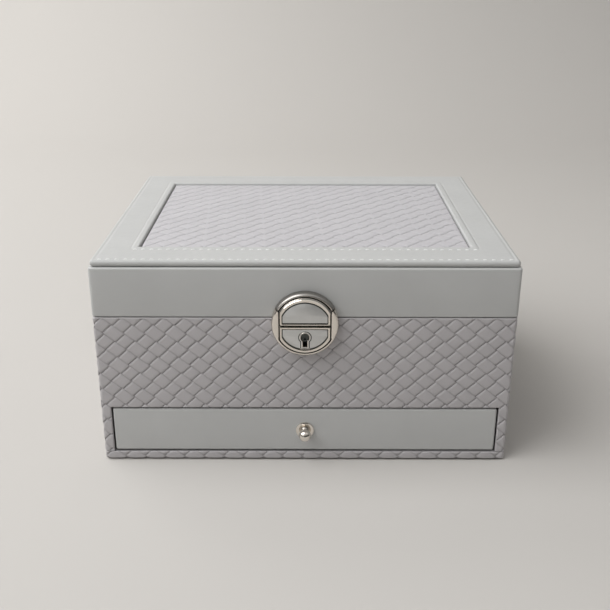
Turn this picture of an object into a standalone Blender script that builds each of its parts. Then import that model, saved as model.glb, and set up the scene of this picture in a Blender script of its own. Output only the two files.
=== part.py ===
"""A jewellery chest: a wrapped case with a drawer, a lift-out tray and a hinged lid with a round key lock.

Metres, +Z up. The origin is at the middle of the underside, the front faces -Y, and X runs along the width.
"""

import math

import bmesh
import bpy
from mathutils import Matrix, Vector

MM = 0.001

# The whole chest.
CHEST_WIDTH = 240 * MM
CHEST_DEPTH = 190 * MM
CHEST_HEIGHT = 127.5 * MM
LID_HEIGHT = 34 * MM
FIT = 0.3 * MM  # between two pieces that meet
SEAT = 0.1 * MM  # between a metal head and what it sits on
NECK = 0.1 * MM  # how much slimmer a web is than the round piece that it runs into
PAST = 1 * MM  # how far a cutter runs past what it cuts
SEAM = 0.01 * MM  # how close the ends of a turned surface are before they merge
ALONG = 0.9  # how much of an edge's direction lies on the axis that it follows

# Case boards.
WALL = 6 * MM
CORNER_RADIUS = 2 * MM
FELT = 0.8 * MM
FELT_INSET = 3 * MM
BASE_BOARD = 4.6 * MM
OPENING_HEIGHT = 29.9 * MM
SHELF = 3 * MM
LINING = 1 * MM
BIN_HEIGHT = 18.7 * MM
DIVIDER = 3 * MM
LEDGE_WIDTH = 5 * MM
LEDGE_HEIGHT = 6 * MM

# Lid.
LID_JOINT = 0.5 * MM
COVER = 3.9 * MM
COVER_INSET = 1 * MM
FRAME_WIDTH = 23.5 * MM
PANEL_RECESS = 0.8 * MM
LID_BOARD = 3 * MM
MIRROR_MARGIN = 17 * MM
MIRROR_FRAME_WIDTH = 8 * MM
MIRROR_FRAME = 2.7 * MM
MIRROR = 1.5 * MM

# Drawer.
DRAWER_TOP_GAP = 0.8 * MM
DRAWER_BOTTOM_GAP = 1.0 * MM
DRAWER_SIDE_GAP = 0.8 * MM
DRAWER_FRONT = 6 * MM
DRAWER_FRONT_INSET = 0.4 * MM
DRAWER_FRONT_ROUND = 1 * MM
DRAWER_SIDE = 4 * MM
DRAWER_HEADROOM = 4 * MM
DRAWER_BOTTOM = 2.4 * MM
DRAWER_BACK_GAP = 3 * MM
DRAWER_LINING = 0.8 * MM

# Knob.
KNOB_REACH = 9.8 * MM
KNOB_BALL = 3.6 * MM
KNOB_NECK = 1.5 * MM
KNOB_FOOT = 2.4 * MM
KNOB_FOOT_HEIGHT = 0.5 * MM
KNOB_STEPS = 12
ROSETTE_RADIUS = 5.2 * MM
ROSETTE = 1.1 * MM
ROSETTE_SLOPE = 0.8 * MM
ROSETTE_SHOULDER = 0.9 * MM
ROSETTE_EDGE = 0.3 * MM
KNOB_SCREW = 1.0 * MM
KNOB_SCREW_BITE = 4.5 * MM
KNOB_SCREW_HEAD = 2.4 * MM

# Tray.
TRAY_DROP = 4 * MM
TRAY_WALL = 3 * MM
TRAY_BOTTOM = 2.5 * MM
TRAY_GAP = 0.8 * MM
TRAY_SPLIT_Y = -2 * MM
RING_SPACE = 140 * MM
TRAY_DIVIDER_DROP = 4 * MM
RING_ROLLS = 7
RING_PAD_BASE = 3 * MM
RING_SLOT = 1.2 * MM

# Butt hinges.
HINGE_SPREAD = 140 * MM
HINGE_WIDTH = 30 * MM
LEAF_LENGTH = 14 * MM
LEAF = 1 * MM
KNUCKLE_RADIUS = 1.9 * MM
HINGE_PIN = 0.9 * MM
PIN_PLAY = 0.1 * MM
KNUCKLE_GAP = 0.3 * MM
LEAF_SCREW_PITCH = 18 * MM
SCREW_SHANK = 0.85 * MM
SCREW_HEAD = 1.7 * MM
SCREW_HEAD_HEIGHT = 0.9 * MM
SCREW_HEAD_EDGE = 0.4 * MM
SCREW_HEAD_SLOPE = 0.5 * MM
SCREW_BITE = 4.2 * MM

# Lock. "Out" sizes are distances in front of the chest's front face.
LOCK_RADIUS = 19 * MM
LOCK_DROP = 2.3 * MM  # lock centre below the rim
LOCK_RIM = 1.6 * MM
LOCK_BEVEL = 1.8 * MM
LOCK_BEVEL_DROP = 2.5 * MM
LOCK_BEVEL_STEPS = 3
COLUMN_HALF = 14.8 * MM
EAR_RISE = 9.3 * MM
EAR_GAP = 0.6 * MM
LOCK_BACK_OUT = 1.5 * MM
LOCK_RIM_OUT = 5.6 * MM
CAP_BACK_OUT = 1.3 * MM
CAP_OUT = 4.6 * MM
FLAP_BACK_OUT = 5.3 * MM
FACE_BACK_OUT = 5.0 * MM
FACE_OUT = 6.4 * MM
BORDER_RISE = 0.3 * MM
BORDER_WIDTH = 1.3 * MM
FACE_GAP = 0.3 * MM
FLAP_TOP_GAP = 0.7 * MM
FACE_CHAMFER = 0.8 * MM
SPLIT_GAP = 0.5 * MM
PIVOT_OUT = 4.3 * MM
PIVOT_DROP = 3.1 * MM
HASP_KNUCKLE = 0.8 * MM
HASP_PIN = 0.4 * MM
HASP_LUG_HALF = 3 * MM
HASP_KNUCKLE_LENGTH = 2.7 * MM
BRIDGE_BITE = 0.5 * MM
HOOK_HALF = 2 * MM
HOOK_BACK_OUT = 1.9 * MM
HOOK_FRONT_OUT = 5.0 * MM
HOOK_RISE = 1.1 * MM
HOOK_LENGTH = 6.4 * MM
EYE_RADIUS = 1.0 * MM
EYE_RISE = 3.6 * MM
BOLT_OUT = 3.3 * MM
BOLT_PIN = 0.65 * MM
BOLT_THICKNESS = 1.8 * MM
BOLT_CLEAR = 0.8 * MM
BOLT_ARM = 2.6 * MM
BOLT_BAR_LENGTH = 19 * MM
BOLT_PIN_LENGTH = 6.6 * MM
BOLT_BAR = 1.9 * MM
BOLT_BAR_DROP = 0.6 * MM
KEY_DROP = 6.8 * MM
PLUG_RADIUS = 3.2 * MM
PLUG_BACK_OUT = 1.8 * MM
PLUG_OUT = 4.7 * MM
KEY_SLOT = 1.2 * MM
KEY_SLOT_DEPTH = 1.5 * MM
KEY_SLOT_HALF_LENGTH = 2.4 * MM
KEYHOLE_RADIUS = 2.4 * MM
KEYHOLE_SLOT = 2.6 * MM
KEYHOLE_SLOT_DROP = 5.8 * MM
LOCK_SCREW_HALF = 9 * MM
LOCK_SCREW_DROP = 9.5 * MM
LOCK_SCREW_SINK = 1.5 * MM

# Places worked out from the sizes above.
SIDE = CHEST_WIDTH / 2
FRONT = -CHEST_DEPTH / 2
BACK = CHEST_DEPTH / 2
INNER_SIDE = SIDE - WALL
INNER_FRONT = FRONT + WALL
INNER_BACK = BACK - WALL
BASE_LOW = FELT + FIT
BASE_TOP = BASE_LOW + BASE_BOARD
OPENING_TOP = BASE_TOP + OPENING_HEIGHT
SHELF_TOP = OPENING_TOP + SHELF
BIN_FLOOR = SHELF_TOP + FIT + LINING
BIN_TOP = BIN_FLOOR + BIN_HEIGHT
RIM = CHEST_HEIGHT - LID_HEIGHT
LID_LOW = RIM + LID_JOINT
COVER_LOW = CHEST_HEIGHT - COVER
LID_BOARD_LOW = COVER_LOW - FIT - LID_BOARD
LID_LINING_LOW = LID_BOARD_LOW - FIT - LINING
MIRROR_TOP = LID_LINING_LOW - FIT
WINDOW_SIDE = SIDE - COVER_INSET - FRAME_WIDTH
WINDOW_BACK = BACK - COVER_INSET - FRAME_WIDTH
HINGE_Y = BACK + FIT + KNUCKLE_RADIUS
HINGE_Z = RIM + LID_JOINT / 2
LOCK_Z = RIM - LOCK_DROP
LOCK_INNER = LOCK_RADIUS - LOCK_RIM
FLAP_RADIUS = LOCK_INNER - FLAP_TOP_GAP
PIVOT_Z = LOCK_Z + FLAP_RADIUS - PIVOT_DROP
KEY_Z = LOCK_Z - KEY_DROP
EYE_Z = LOCK_Z + EYE_RISE
DRAWER_LOW = BASE_TOP + DRAWER_BOTTOM_GAP
DRAWER_HIGH = OPENING_TOP - DRAWER_TOP_GAP
DRAWER_FACE = FRONT + DRAWER_FRONT_INSET
KNOB_Z = (DRAWER_LOW + DRAWER_HIGH) / 2
DRAWER_BOX_FRONT = DRAWER_FACE + DRAWER_FRONT + FIT
DRAWER_BOX_BACK = INNER_BACK - DRAWER_BACK_GAP
DRAWER_BOX_SIDE = INNER_SIDE - DRAWER_SIDE_GAP
DRAWER_INNER_SIDE = DRAWER_BOX_SIDE - DRAWER_SIDE
DRAWER_RUN = BASE_TOP + FIT
DRAWER_BOTTOM_LOW = DRAWER_RUN + FIT
DRAWER_FLOOR = DRAWER_BOTTOM_LOW + DRAWER_BOTTOM + FIT
DRAWER_BOX_TOP = OPENING_TOP - DRAWER_HEADROOM
TRAY_LOW = BIN_TOP + FIT
TRAY_TOP = RIM - TRAY_DROP
TRAY_SIDE = INNER_SIDE - TRAY_GAP
TRAY_BACK = INNER_BACK - TRAY_GAP
TRAY_INNER_SIDE = TRAY_SIDE - TRAY_WALL
TRAY_INNER_BACK = TRAY_BACK - TRAY_WALL
TRAY_FLOOR = TRAY_LOW + TRAY_BOTTOM + FIT
TRAY_DIVIDER_TOP = TRAY_TOP - TRAY_DIVIDER_DROP

# Sides of a round shape.
ROUND_STEPS = 64
FINE_STEPS = 24
SCREW_STEPS = 16
HOLE_STEPS = 12


# Scene, finishes and carriers.


def clear_scene():
    for item in list(bpy.data.objects):
        bpy.data.objects.remove(item, do_unlink=True)


def new_collection(name):
    collection = bpy.data.collections.new(name)
    bpy.context.scene.collection.children.link(collection)
    return collection


def finish(name, color, roughness, metallic=0.0):
    """A Principled material with one colour."""
    made = bpy.data.materials.new(name)
    made.use_nodes = True
    shader = made.node_tree.nodes["Principled BSDF"]
    shader.inputs["Base Color"].default_value = (*color, 1.0)
    shader.inputs["Roughness"].default_value = roughness
    shader.inputs["Metallic"].default_value = metallic
    return made


def carrier(name, location, parent=None):
    """An empty on a joint's axis, which the pieces of one moving body hang from."""
    empty = bpy.data.objects.new(name, None)
    chest.objects.link(empty)
    empty.location = location
    bpy.context.view_layer.update()
    if parent:
        hang(empty, parent)
    return empty


def hang(item, parent):
    bpy.context.view_layer.update()
    item.parent = parent
    item.matrix_parent_inverse = parent.matrix_world.inverted()


def place(name, mesh, look, parent, location=(0, 0, 0), turn=None):
    """A named piece with its finish, hung from its body's carrier."""
    item = bpy.data.objects.new(name, mesh)
    chest.objects.link(item)
    item.location = location
    if turn:
        item.rotation_euler = turn
    item.data.materials.append(look)
    if parent:
        hang(item, parent)
    return item


# Shapes.


def box_mesh(name, size):
    shape = bmesh.new()
    bmesh.ops.create_cube(shape, size=1.0, matrix=Matrix.Diagonal((*size, 1.0)))
    mesh = bpy.data.meshes.new(name)
    shape.to_mesh(mesh)
    shape.free()
    return mesh


def board(name, low, high, look, parent=None):
    """A flat board between two corners."""
    low, high = Vector(low), Vector(high)
    return place(name, box_mesh(name, high - low), look, parent, (low + high) / 2)


def round_edges(item, radius, chosen, steps=4):
    """Rounds the edges of a board for which chosen(middle, direction) is true, in the board's own axes."""
    shape = bmesh.new()
    shape.from_mesh(item.data)
    edges = []
    for edge in shape.edges:
        start, end = edge.verts[0].co, edge.verts[1].co
        if chosen((start + end) / 2, (end - start).normalized()):
            edges.append(edge)
    bmesh.ops.bevel(shape, geom=edges, offset=radius, segments=steps, profile=0.5, affect="EDGES")
    shape.to_mesh(item.data)
    shape.free()


def upright(middle, along):
    """True for an edge that runs along Z."""
    return abs(along.z) > ALONG


def upright_at(x):
    """Chooses the edges that run along Z at one x, in the board's own axes."""
    return lambda middle, along: abs(along.z) > ALONG and abs(middle.x - x) < FIT


def rod_mesh(name, radius, length, steps=FINE_STEPS):
    shape = bmesh.new()
    bmesh.ops.create_cone(
        shape, cap_ends=True, segments=steps, radius1=radius, radius2=radius, depth=length
    )
    mesh = bpy.data.meshes.new(name)
    shape.to_mesh(mesh)
    shape.free()
    return mesh


ALONG_X = (0, math.pi / 2, 0)
ALONG_Y = (math.pi / 2, 0, 0)


def turned(name, profile, look, parent, location, steps=FINE_STEPS):
    """A piece turned about an axis along -Y: profile is (radius, distance out) from its outer end back."""
    mesh = bpy.data.meshes.new(name)
    points = [(radius, 0, out) for radius, out in profile]
    mesh.from_pydata(points, [(i, i + 1) for i in range(len(points) - 1)], [])
    item = place(name, mesh, look, parent, location, ALONG_Y)
    spin = item.modifiers.new("turn", "SCREW")
    spin.steps = steps
    spin.render_steps = steps
    spin.use_merge_vertices = True
    spin.merge_threshold = SEAM
    spin.use_smooth_shade = True
    return item


def screw_profile(shank_radius, shank_length, head_radius):
    """A screw from its tip to its head, which has a straight edge and then a slope to a flat top."""
    return [
        (0, shank_length),
        (shank_radius, shank_length),
        (shank_radius, 0),
        (head_radius, 0),
        (head_radius, -SCREW_HEAD_EDGE),
        (head_radius - SCREW_HEAD_SLOPE, -SCREW_HEAD_HEIGHT),
        (0, -SCREW_HEAD_HEIGHT),
    ]


def helper(name, mesh, location, turn=None):
    """A cutter: wire display, never rendered."""
    item = bpy.data.objects.new(name, mesh)
    cutters.objects.link(item)
    item.location = location
    if turn:
        item.rotation_euler = turn
    item.hide_render = True
    item.display_type = "WIRE"
    return item


def box_helper(name, low, high):
    low, high = Vector(low), Vector(high)
    return helper(name, box_mesh(name, high - low), (low + high) / 2)


def combine(item, other, how):
    step = item.modifiers.new(other.name, "BOOLEAN")
    step.operation = how
    step.object = other
    step.solver = "EXACT"
    return item


def cut(item, other):
    return combine(item, other, "DIFFERENCE")


def join(item, other):
    return combine(item, other, "UNION")


def keep_common(item, other):
    return combine(item, other, "INTERSECT")


def at_front(x, out, z):
    """A point given by its distance in front of the chest's front face."""
    return (x, FRONT - out, z)


def front_box(name, side, outs, heights):
    """A box cutter with x in side, distance out in outs and z in heights."""
    return box_helper(name, at_front(side[0], outs[1], heights[0]), at_front(side[1], outs[0], heights[1]))


def front_rod(name, x, outs, z, radius, steps=FINE_STEPS):
    """A rod cutter along Y between two distances in front of the front face."""
    mesh = rod_mesh(name, radius, outs[1] - outs[0], steps)
    return helper(name, mesh, at_front(x, (outs[0] + outs[1]) / 2, z), ALONG_Y)


def cross_rod(name, x_low, x_high, out, z, radius, steps=FINE_STEPS):
    """A rod cutter along X at one distance in front of the front face."""
    mesh = rod_mesh(name, radius, x_high - x_low, steps)
    return helper(name, mesh, at_front((x_low + x_high) / 2, out, z), ALONG_X)


# Case.


def make_base():
    inset_side, inset_back = SIDE - FELT_INSET, BACK - FELT_INSET
    board("base_felt", (-inset_side, -inset_back, 0), (inset_side, inset_back, FELT), dark_felt)
    base = board("base_board", (-SIDE, FRONT, BASE_LOW), (SIDE, BACK, BASE_TOP), woven)
    round_edges(base, CORNER_RADIUS, upright)


def make_side_walls():
    for name, sign in (("case_left_wall", -1), ("case_right_wall", 1)):
        ends = sorted((sign * INNER_SIDE, sign * SIDE))
        wall = board(name, (ends[0], FRONT, BASE_TOP + FIT), (ends[1], BACK, RIM), woven)
        round_edges(wall, CORNER_RADIUS, upright_at(sign * WALL / 2))


def make_back_wall():
    side = INNER_SIDE - FIT
    wall = board("case_back_wall", (-side, INNER_BACK, BASE_TOP + FIT), (side, BACK, RIM), woven)
    for hinge in (-1, 1):
        for screw in (-1, 1):
            drill_for_leaf(wall, hinge, screw, -1)


def make_front_wall():
    side = INNER_SIDE - FIT
    wall = board("case_front_wall", (-side, FRONT, OPENING_TOP), (side, INNER_FRONT, RIM), woven)
    screw_z = LOCK_Z - LOCK_SCREW_DROP
    for label, sign in (("left", -1), ("right", 1)):
        x = sign * LOCK_SCREW_HALF
        through = (-WALL - FIT, FIT)
        cut(wall, front_rod(f"wall_screw_hole_{label}", x, through, screw_z, SCREW_SHANK + FIT))
        sink = (-WALL - FIT, -WALL + LOCK_SCREW_SINK)
        cut(wall, front_rod(f"wall_screw_sink_{label}", x, sink, screw_z, SCREW_HEAD + FIT))


def make_shelf():
    side, back = INNER_SIDE - FIT, INNER_BACK - FIT
    board("shelf_board", (-side, -back, OPENING_TOP), (side, back, SHELF_TOP), board_grey)
    board("floor_lining", (-side, -back, SHELF_TOP + FIT), (side, back, BIN_FLOOR), velvet)
    divider_side = side - LEDGE_WIDTH - FIT
    half = DIVIDER / 2
    low, high = BIN_FLOOR + FIT, BIN_TOP - FIT
    board("bin_divider", (-divider_side, -half, low), (divider_side, half, high), velvet)


def make_ledges():
    outer, back = INNER_SIDE - FIT, INNER_BACK - FIT
    for name, sign in (("tray_ledge_left", -1), ("tray_ledge_right", 1)):
        ends = sorted((sign * outer, sign * (outer - LEDGE_WIDTH)))
        board(name, (ends[0], -back, BIN_TOP - LEDGE_HEIGHT), (ends[1], back, BIN_TOP), velvet)


# Lid.


def make_lid_walls():
    side, top = INNER_SIDE - FIT, COVER_LOW - FIT
    for name, sign in (("lid_left_wall", -1), ("lid_right_wall", 1)):
        ends = sorted((sign * INNER_SIDE, sign * SIDE))
        wall = board(name, (ends[0], FRONT, LID_LOW), (ends[1], BACK, top), plain, lid_axis)
        round_edges(wall, CORNER_RADIUS, upright_at(sign * WALL / 2))
    board("lid_front_wall", (-side, FRONT, LID_LOW), (side, INNER_FRONT, top), plain, lid_axis)
    rear = board("lid_back_wall", (-side, INNER_BACK, LID_LOW), (side, BACK, top), plain, lid_axis)
    for hinge in (-1, 1):
        for screw in (-1, 1):
            drill_for_leaf(rear, hinge, screw, 1)


def make_lid_top():
    side, back = INNER_SIDE - FIT, INNER_BACK - FIT
    low, high = LID_BOARD_LOW, LID_BOARD_LOW + LID_BOARD
    board("lid_top_board", (-side, -back, low), (side, back, high), board_grey, lid_axis)
    board(
        "lid_lining",
        (-side, -back, LID_LINING_LOW),
        (side, back, LID_LINING_LOW + LINING),
        velvet,
        lid_axis,
    )


def make_window():
    side, back = SIDE - COVER_INSET, BACK - COVER_INSET
    cover = board(
        "lid_window_frame", (-side, -back, COVER_LOW), (side, back, CHEST_HEIGHT), plain, lid_axis
    )
    round_edges(cover, CORNER_RADIUS, upright)
    window = box_helper(
        "window_cutter",
        (-WINDOW_SIDE, -WINDOW_BACK, COVER_LOW - COVER),
        (WINDOW_SIDE, WINDOW_BACK, CHEST_HEIGHT + COVER),
    )
    cut(cover, window)
    board(
        "woven_panel",
        (FIT - WINDOW_SIDE, FIT - WINDOW_BACK, COVER_LOW),
        (WINDOW_SIDE - FIT, WINDOW_BACK - FIT, CHEST_HEIGHT - PANEL_RECESS),
        woven,
        lid_axis,
    )


def make_mirror():
    side, back = INNER_SIDE - MIRROR_MARGIN, INNER_BACK - MIRROR_MARGIN
    low = MIRROR_TOP - MIRROR_FRAME
    rim = board("mirror_frame", (-side, -back, low), (side, back, MIRROR_TOP), plain, lid_axis)
    hole_side, hole_back = side - MIRROR_FRAME_WIDTH, back - MIRROR_FRAME_WIDTH
    hole = box_helper(
        "mirror_cutter",
        (-hole_side, -hole_back, low - MIRROR_FRAME),
        (hole_side, hole_back, MIRROR_TOP + MIRROR_FRAME),
    )
    cut(rim, hole)
    glass_side, glass_back = hole_side - FIT, hole_back - FIT
    board(
        "mirror",
        (-glass_side, -glass_back, MIRROR_TOP - MIRROR),
        (glass_side, glass_back, MIRROR_TOP),
        mirror_glass,
        lid_axis,
    )


# Drawer.


def make_drawer_front():
    side = INNER_SIDE - DRAWER_SIDE_GAP
    face = board(
        "drawer_front",
        (-side, DRAWER_FACE, DRAWER_LOW),
        (side, DRAWER_FACE + DRAWER_FRONT, DRAWER_HIGH),
        plain,
        drawer_axis,
    )
    front_y = -DRAWER_FRONT / 2
    round_edges(face, DRAWER_FRONT_ROUND, lambda middle, along: abs(middle.y - front_y) < FIT, 3)
    outs = (-DRAWER_FRONT_INSET - DRAWER_FRONT - PAST, PAST)
    cut(face, front_rod("knob_hole", 0, outs, KNOB_Z, KNOB_SCREW + FIT))


def make_drawer_box():
    for name, sign in (("drawer_left", -1), ("drawer_right", 1)):
        ends = sorted((sign * DRAWER_INNER_SIDE, sign * DRAWER_BOX_SIDE))
        low = (ends[0], DRAWER_BOX_FRONT, DRAWER_RUN)
        high = (ends[1], DRAWER_BOX_BACK, DRAWER_BOX_TOP)
        board(name, low, high, plain, drawer_axis)
    side = DRAWER_INNER_SIDE - FIT
    board(
        "drawer_bottom",
        (-side, DRAWER_BOX_FRONT, DRAWER_BOTTOM_LOW),
        (side, DRAWER_BOX_BACK, DRAWER_BOTTOM_LOW + DRAWER_BOTTOM),
        board_grey,
        drawer_axis,
    )
    back_front = DRAWER_BOX_BACK - DRAWER_SIDE
    board(
        "drawer_back",
        (-side, back_front, DRAWER_FLOOR),
        (side, DRAWER_BOX_BACK, DRAWER_BOX_TOP),
        plain,
        drawer_axis,
    )
    board(
        "drawer_lining",
        (-side, DRAWER_BOX_FRONT, DRAWER_FLOOR),
        (side, back_front - FIT, DRAWER_FLOOR + DRAWER_LINING),
        velvet,
        drawer_axis,
    )


def make_drawer_dividers():
    side, half = DRAWER_INNER_SIDE - 2 * FIT, DIVIDER / 2
    middle = (DRAWER_BOX_FRONT + DRAWER_BOX_BACK) / 2
    low, high = DRAWER_FLOOR + DRAWER_LINING + FIT, DRAWER_BOX_TOP - FIT
    board(
        "drawer_divider", (-side, middle - half, low), (side, middle + half, high), velvet, drawer_axis
    )
    clear_of_screw = DRAWER_BOX_FRONT + SCREW_HEAD_HEIGHT + SCREW_BITE
    board(
        "drawer_cross_divider",
        (-half, clear_of_screw, low),
        (half, middle - half - FIT, high),
        velvet,
        drawer_axis,
    )


def make_knob():
    """A ball on a short neck, screwed on from inside through the drawer front over a dished rosette."""
    face = DRAWER_FACE - SEAT
    ball_centre = KNOB_REACH - KNOB_BALL
    foot_out = ROSETTE + SEAT
    profile = []
    meets_neck = math.pi - math.asin(KNOB_NECK / KNOB_BALL)
    for step in range(KNOB_STEPS + 1):
        angle = meets_neck * step / KNOB_STEPS
        profile.append((KNOB_BALL * math.sin(angle), ball_centre + KNOB_BALL * math.cos(angle)))
    profile[0] = (0, KNOB_REACH)
    profile += [(KNOB_FOOT, foot_out + KNOB_FOOT_HEIGHT), (KNOB_FOOT, foot_out), (0, foot_out)]
    knob = turned("knob", profile, nickel, drawer_axis, (0, face, KNOB_Z))
    socket_end = foot_out + KNOB_SCREW_BITE
    outs = (FRONT - face - PAST, FRONT - face + socket_end)
    cut(knob, front_rod("knob_socket", 0, outs, KNOB_Z, KNOB_SCREW + SEAT))
    ring = [
        (KNOB_SCREW + FIT, ROSETTE),
        (KNOB_FOOT, ROSETTE),
        (ROSETTE_RADIUS - ROSETTE_SLOPE, ROSETTE_SHOULDER),
        (ROSETTE_RADIUS, ROSETTE_EDGE),
        (ROSETTE_RADIUS, 0),
        (KNOB_SCREW + FIT, 0),
        (KNOB_SCREW + FIT, ROSETTE),
    ]
    turned("knob_rosette", ring, nickel, drawer_axis, (0, face, KNOB_Z))
    inside = DRAWER_FACE + DRAWER_FRONT + SEAT
    shank = inside - (face - socket_end) - FIT
    screw = screw_profile(KNOB_SCREW, shank, KNOB_SCREW_HEAD)
    turned("knob_screw", screw, steel, drawer_axis, (0, inside, KNOB_Z))


# Tray.


def make_tray_shell():
    shell = board(
        "tray_shell",
        (-TRAY_SIDE, -TRAY_BACK, TRAY_LOW),
        (TRAY_SIDE, TRAY_BACK, TRAY_TOP),
        velvet,
        tray_axis,
    )
    hollow = box_helper(
        "tray_hollow",
        (-TRAY_INNER_SIDE, -TRAY_INNER_BACK, TRAY_LOW + TRAY_BOTTOM),
        (TRAY_INNER_SIDE, TRAY_INNER_BACK, TRAY_TOP + TRAY_BOTTOM),
    )
    cut(shell, hollow)


def make_tray_dividers():
    side, back = TRAY_INNER_SIDE - FIT, TRAY_INNER_BACK - FIT
    board(
        "tray_divider",
        (-side, TRAY_SPLIT_Y, TRAY_FLOOR),
        (side, TRAY_SPLIT_Y + DIVIDER, TRAY_DIVIDER_TOP),
        velvet,
        tray_axis,
    )
    board(
        "tray_cross_divider",
        (RING_SPACE - side, -back, TRAY_FLOOR),
        (RING_SPACE - side + DIVIDER, TRAY_SPLIT_Y - FIT, TRAY_DIVIDER_TOP),
        velvet,
        tray_axis,
    )


def make_ring_pad():
    """Foam rolls side by side along X on a thin base, as one block with a slot between each pair."""
    side, back = TRAY_INNER_SIDE - FIT, TRAY_INNER_BACK - FIT
    low, high = -back, TRAY_SPLIT_Y - FIT
    pitch = (high - low) / RING_ROLLS
    radius = (pitch - RING_SLOT) / 2
    top = TRAY_FLOOR + RING_PAD_BASE + 2 * radius
    pad = board(
        "ring_pad", (-side, low, TRAY_FLOOR), (RING_SPACE - FIT - side, high, top), velvet, tray_axis
    )
    for index in range(1, RING_ROLLS):
        middle = low + pitch * index
        slot = box_helper(
            f"ring_slot_{index}",
            (-side - DIVIDER, middle - RING_SLOT / 2, TRAY_FLOOR + RING_PAD_BASE),
            (RING_SPACE - side + DIVIDER, middle + RING_SLOT / 2, top + DIVIDER),
        )
        cut(pad, slot)


# Hinges.


def leaf_screw_place(hinge, screw, up):
    """Middle of a leaf screw's hole on the back face: up is 1 on the lid and -1 on the case."""
    x = hinge * HINGE_SPREAD / 2 + screw * LEAF_SCREW_PITCH / 2
    z = HINGE_Z + up * (LEAF_LENGTH + KNUCKLE_RADIUS) / 2
    return x, z


def screw_label(hinge, screw, up):
    sides = {-1: "left", 1: "right"}
    return f"{sides[hinge]}_{'lid' if up > 0 else 'case'}_{'a' if screw < 0 else 'b'}"


def drill_for_leaf(item, hinge, screw, up):
    x, z = leaf_screw_place(hinge, screw, up)
    depth = SCREW_BITE + FIT
    mesh = rod_mesh("leaf_screw_hole", SCREW_SHANK + FIT, depth + LEAF + WALL, HOLE_STEPS)
    middle = BACK - depth + (depth + LEAF + WALL) / 2
    cut(item, helper(f"hole_{screw_label(hinge, screw, up)}", mesh, (x, middle, z), ALONG_Y))


def make_leaf(name, hinge, up, knuckles, parent):
    """A hinge leaf: a plate on the back face, and the knuckles that curl round the pin."""
    middle, half = hinge * HINGE_SPREAD / 2, HINGE_WIDTH / 2
    inner, outer = BACK + FIT, BACK + FIT + LEAF
    cleared = KNUCKLE_RADIUS + KNUCKLE_GAP
    heights = sorted((HINGE_Z + up * cleared, HINGE_Z + up * LEAF_LENGTH))
    leaf = board(
        name, (middle - half, inner, heights[0]), (middle + half, outer, heights[1]), steel, parent
    )
    for index, (start, end) in enumerate(knuckles):
        tab_heights = sorted((HINGE_Z, HINGE_Z + up * (cleared + LEAF)))
        tab = box_helper(
            f"{name}_tab_{index}",
            (middle + start + NECK, inner + NECK, tab_heights[0]),
            (middle + end - NECK, outer - NECK, tab_heights[1]),
        )
        join(leaf, tab)
        tube = rod_mesh(f"{name}_knuckle_{index}", KNUCKLE_RADIUS, end - start)
        place_of_tube = (middle + (start + end) / 2, HINGE_Y, HINGE_Z)
        join(leaf, helper(f"{name}_knuckle_{index}", tube, place_of_tube, ALONG_X))
    bore = rod_mesh(f"{name}_bore", HINGE_PIN + PIN_PLAY, HINGE_WIDTH + 2 * LEAF)
    cut(leaf, helper(f"{name}_bore", bore, (middle, HINGE_Y, HINGE_Z), ALONG_X))
    for screw in (-1, 1):
        drill_for_leaf(leaf, hinge, screw, up)


def make_leaf_screw(hinge, screw, up, parent):
    x, z = leaf_screw_place(hinge, screw, up)
    seat = BACK + FIT + LEAF + SEAT
    shank = seat - BACK + SCREW_BITE
    profile = screw_profile(SCREW_SHANK, shank, SCREW_HEAD)
    name = f"hinge_screw_{screw_label(hinge, screw, up)}"
    turned(name, profile, steel, parent, (x, seat, z), SCREW_STEPS)


def make_hinges():
    half, third = HINGE_WIDTH / 2, HINGE_WIDTH / 6
    for side, hinge in (("left", -1), ("right", 1)):
        outer_pair = ((-half, -third - KNUCKLE_GAP), (third + KNUCKLE_GAP, half))
        make_leaf(f"hinge_{side}_case_leaf", hinge, -1, outer_pair, None)
        make_leaf(f"hinge_{side}_lid_leaf", hinge, 1, ((-third, third),), lid_axis)
        place(
            f"hinge_{side}_pin",
            rod_mesh(f"hinge_{side}_pin", HINGE_PIN, HINGE_WIDTH + LEAF),
            steel,
            None,
            (hinge * HINGE_SPREAD / 2, HINGE_Y, HINGE_Z),
            ALONG_X,
        )
        for screw in (-1, 1):
            make_leaf_screw(hinge, screw, -1, None)
            make_leaf_screw(hinge, screw, 1, lid_axis)


# Lock.


def bevelled_disc(name, top_out, look, parent):
    """A disc of the lock's radius on the front face, its front edge rounded to a quarter ellipse."""
    profile = [(0, top_out)]
    for step in range(LOCK_BEVEL_STEPS + 1):
        angle = math.pi / 2 * step / LOCK_BEVEL_STEPS
        inward = LOCK_BEVEL * (1 - math.sin(angle))
        profile.append((LOCK_RADIUS - inward, top_out - LOCK_BEVEL_DROP * (1 - math.cos(angle))))
    profile += [(LOCK_RADIUS, FIT), (0, FIT)]
    return turned(name, profile, look, parent, (0, FRONT, LOCK_Z), ROUND_STEPS)


def column_cutter(name, radius, half, outs):
    """A disc with straight sides, as a cutter."""
    column = front_rod(name, 0, outs, LOCK_Z, radius, ROUND_STEPS)
    height = (LOCK_Z - 2 * LOCK_RADIUS, LOCK_Z + 2 * LOCK_RADIUS)
    sides = front_box(f"{name}_sides", (-half, half), (outs[0] - PAST, outs[1] + PAST), height)
    return keep_common(column, sides)


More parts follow.
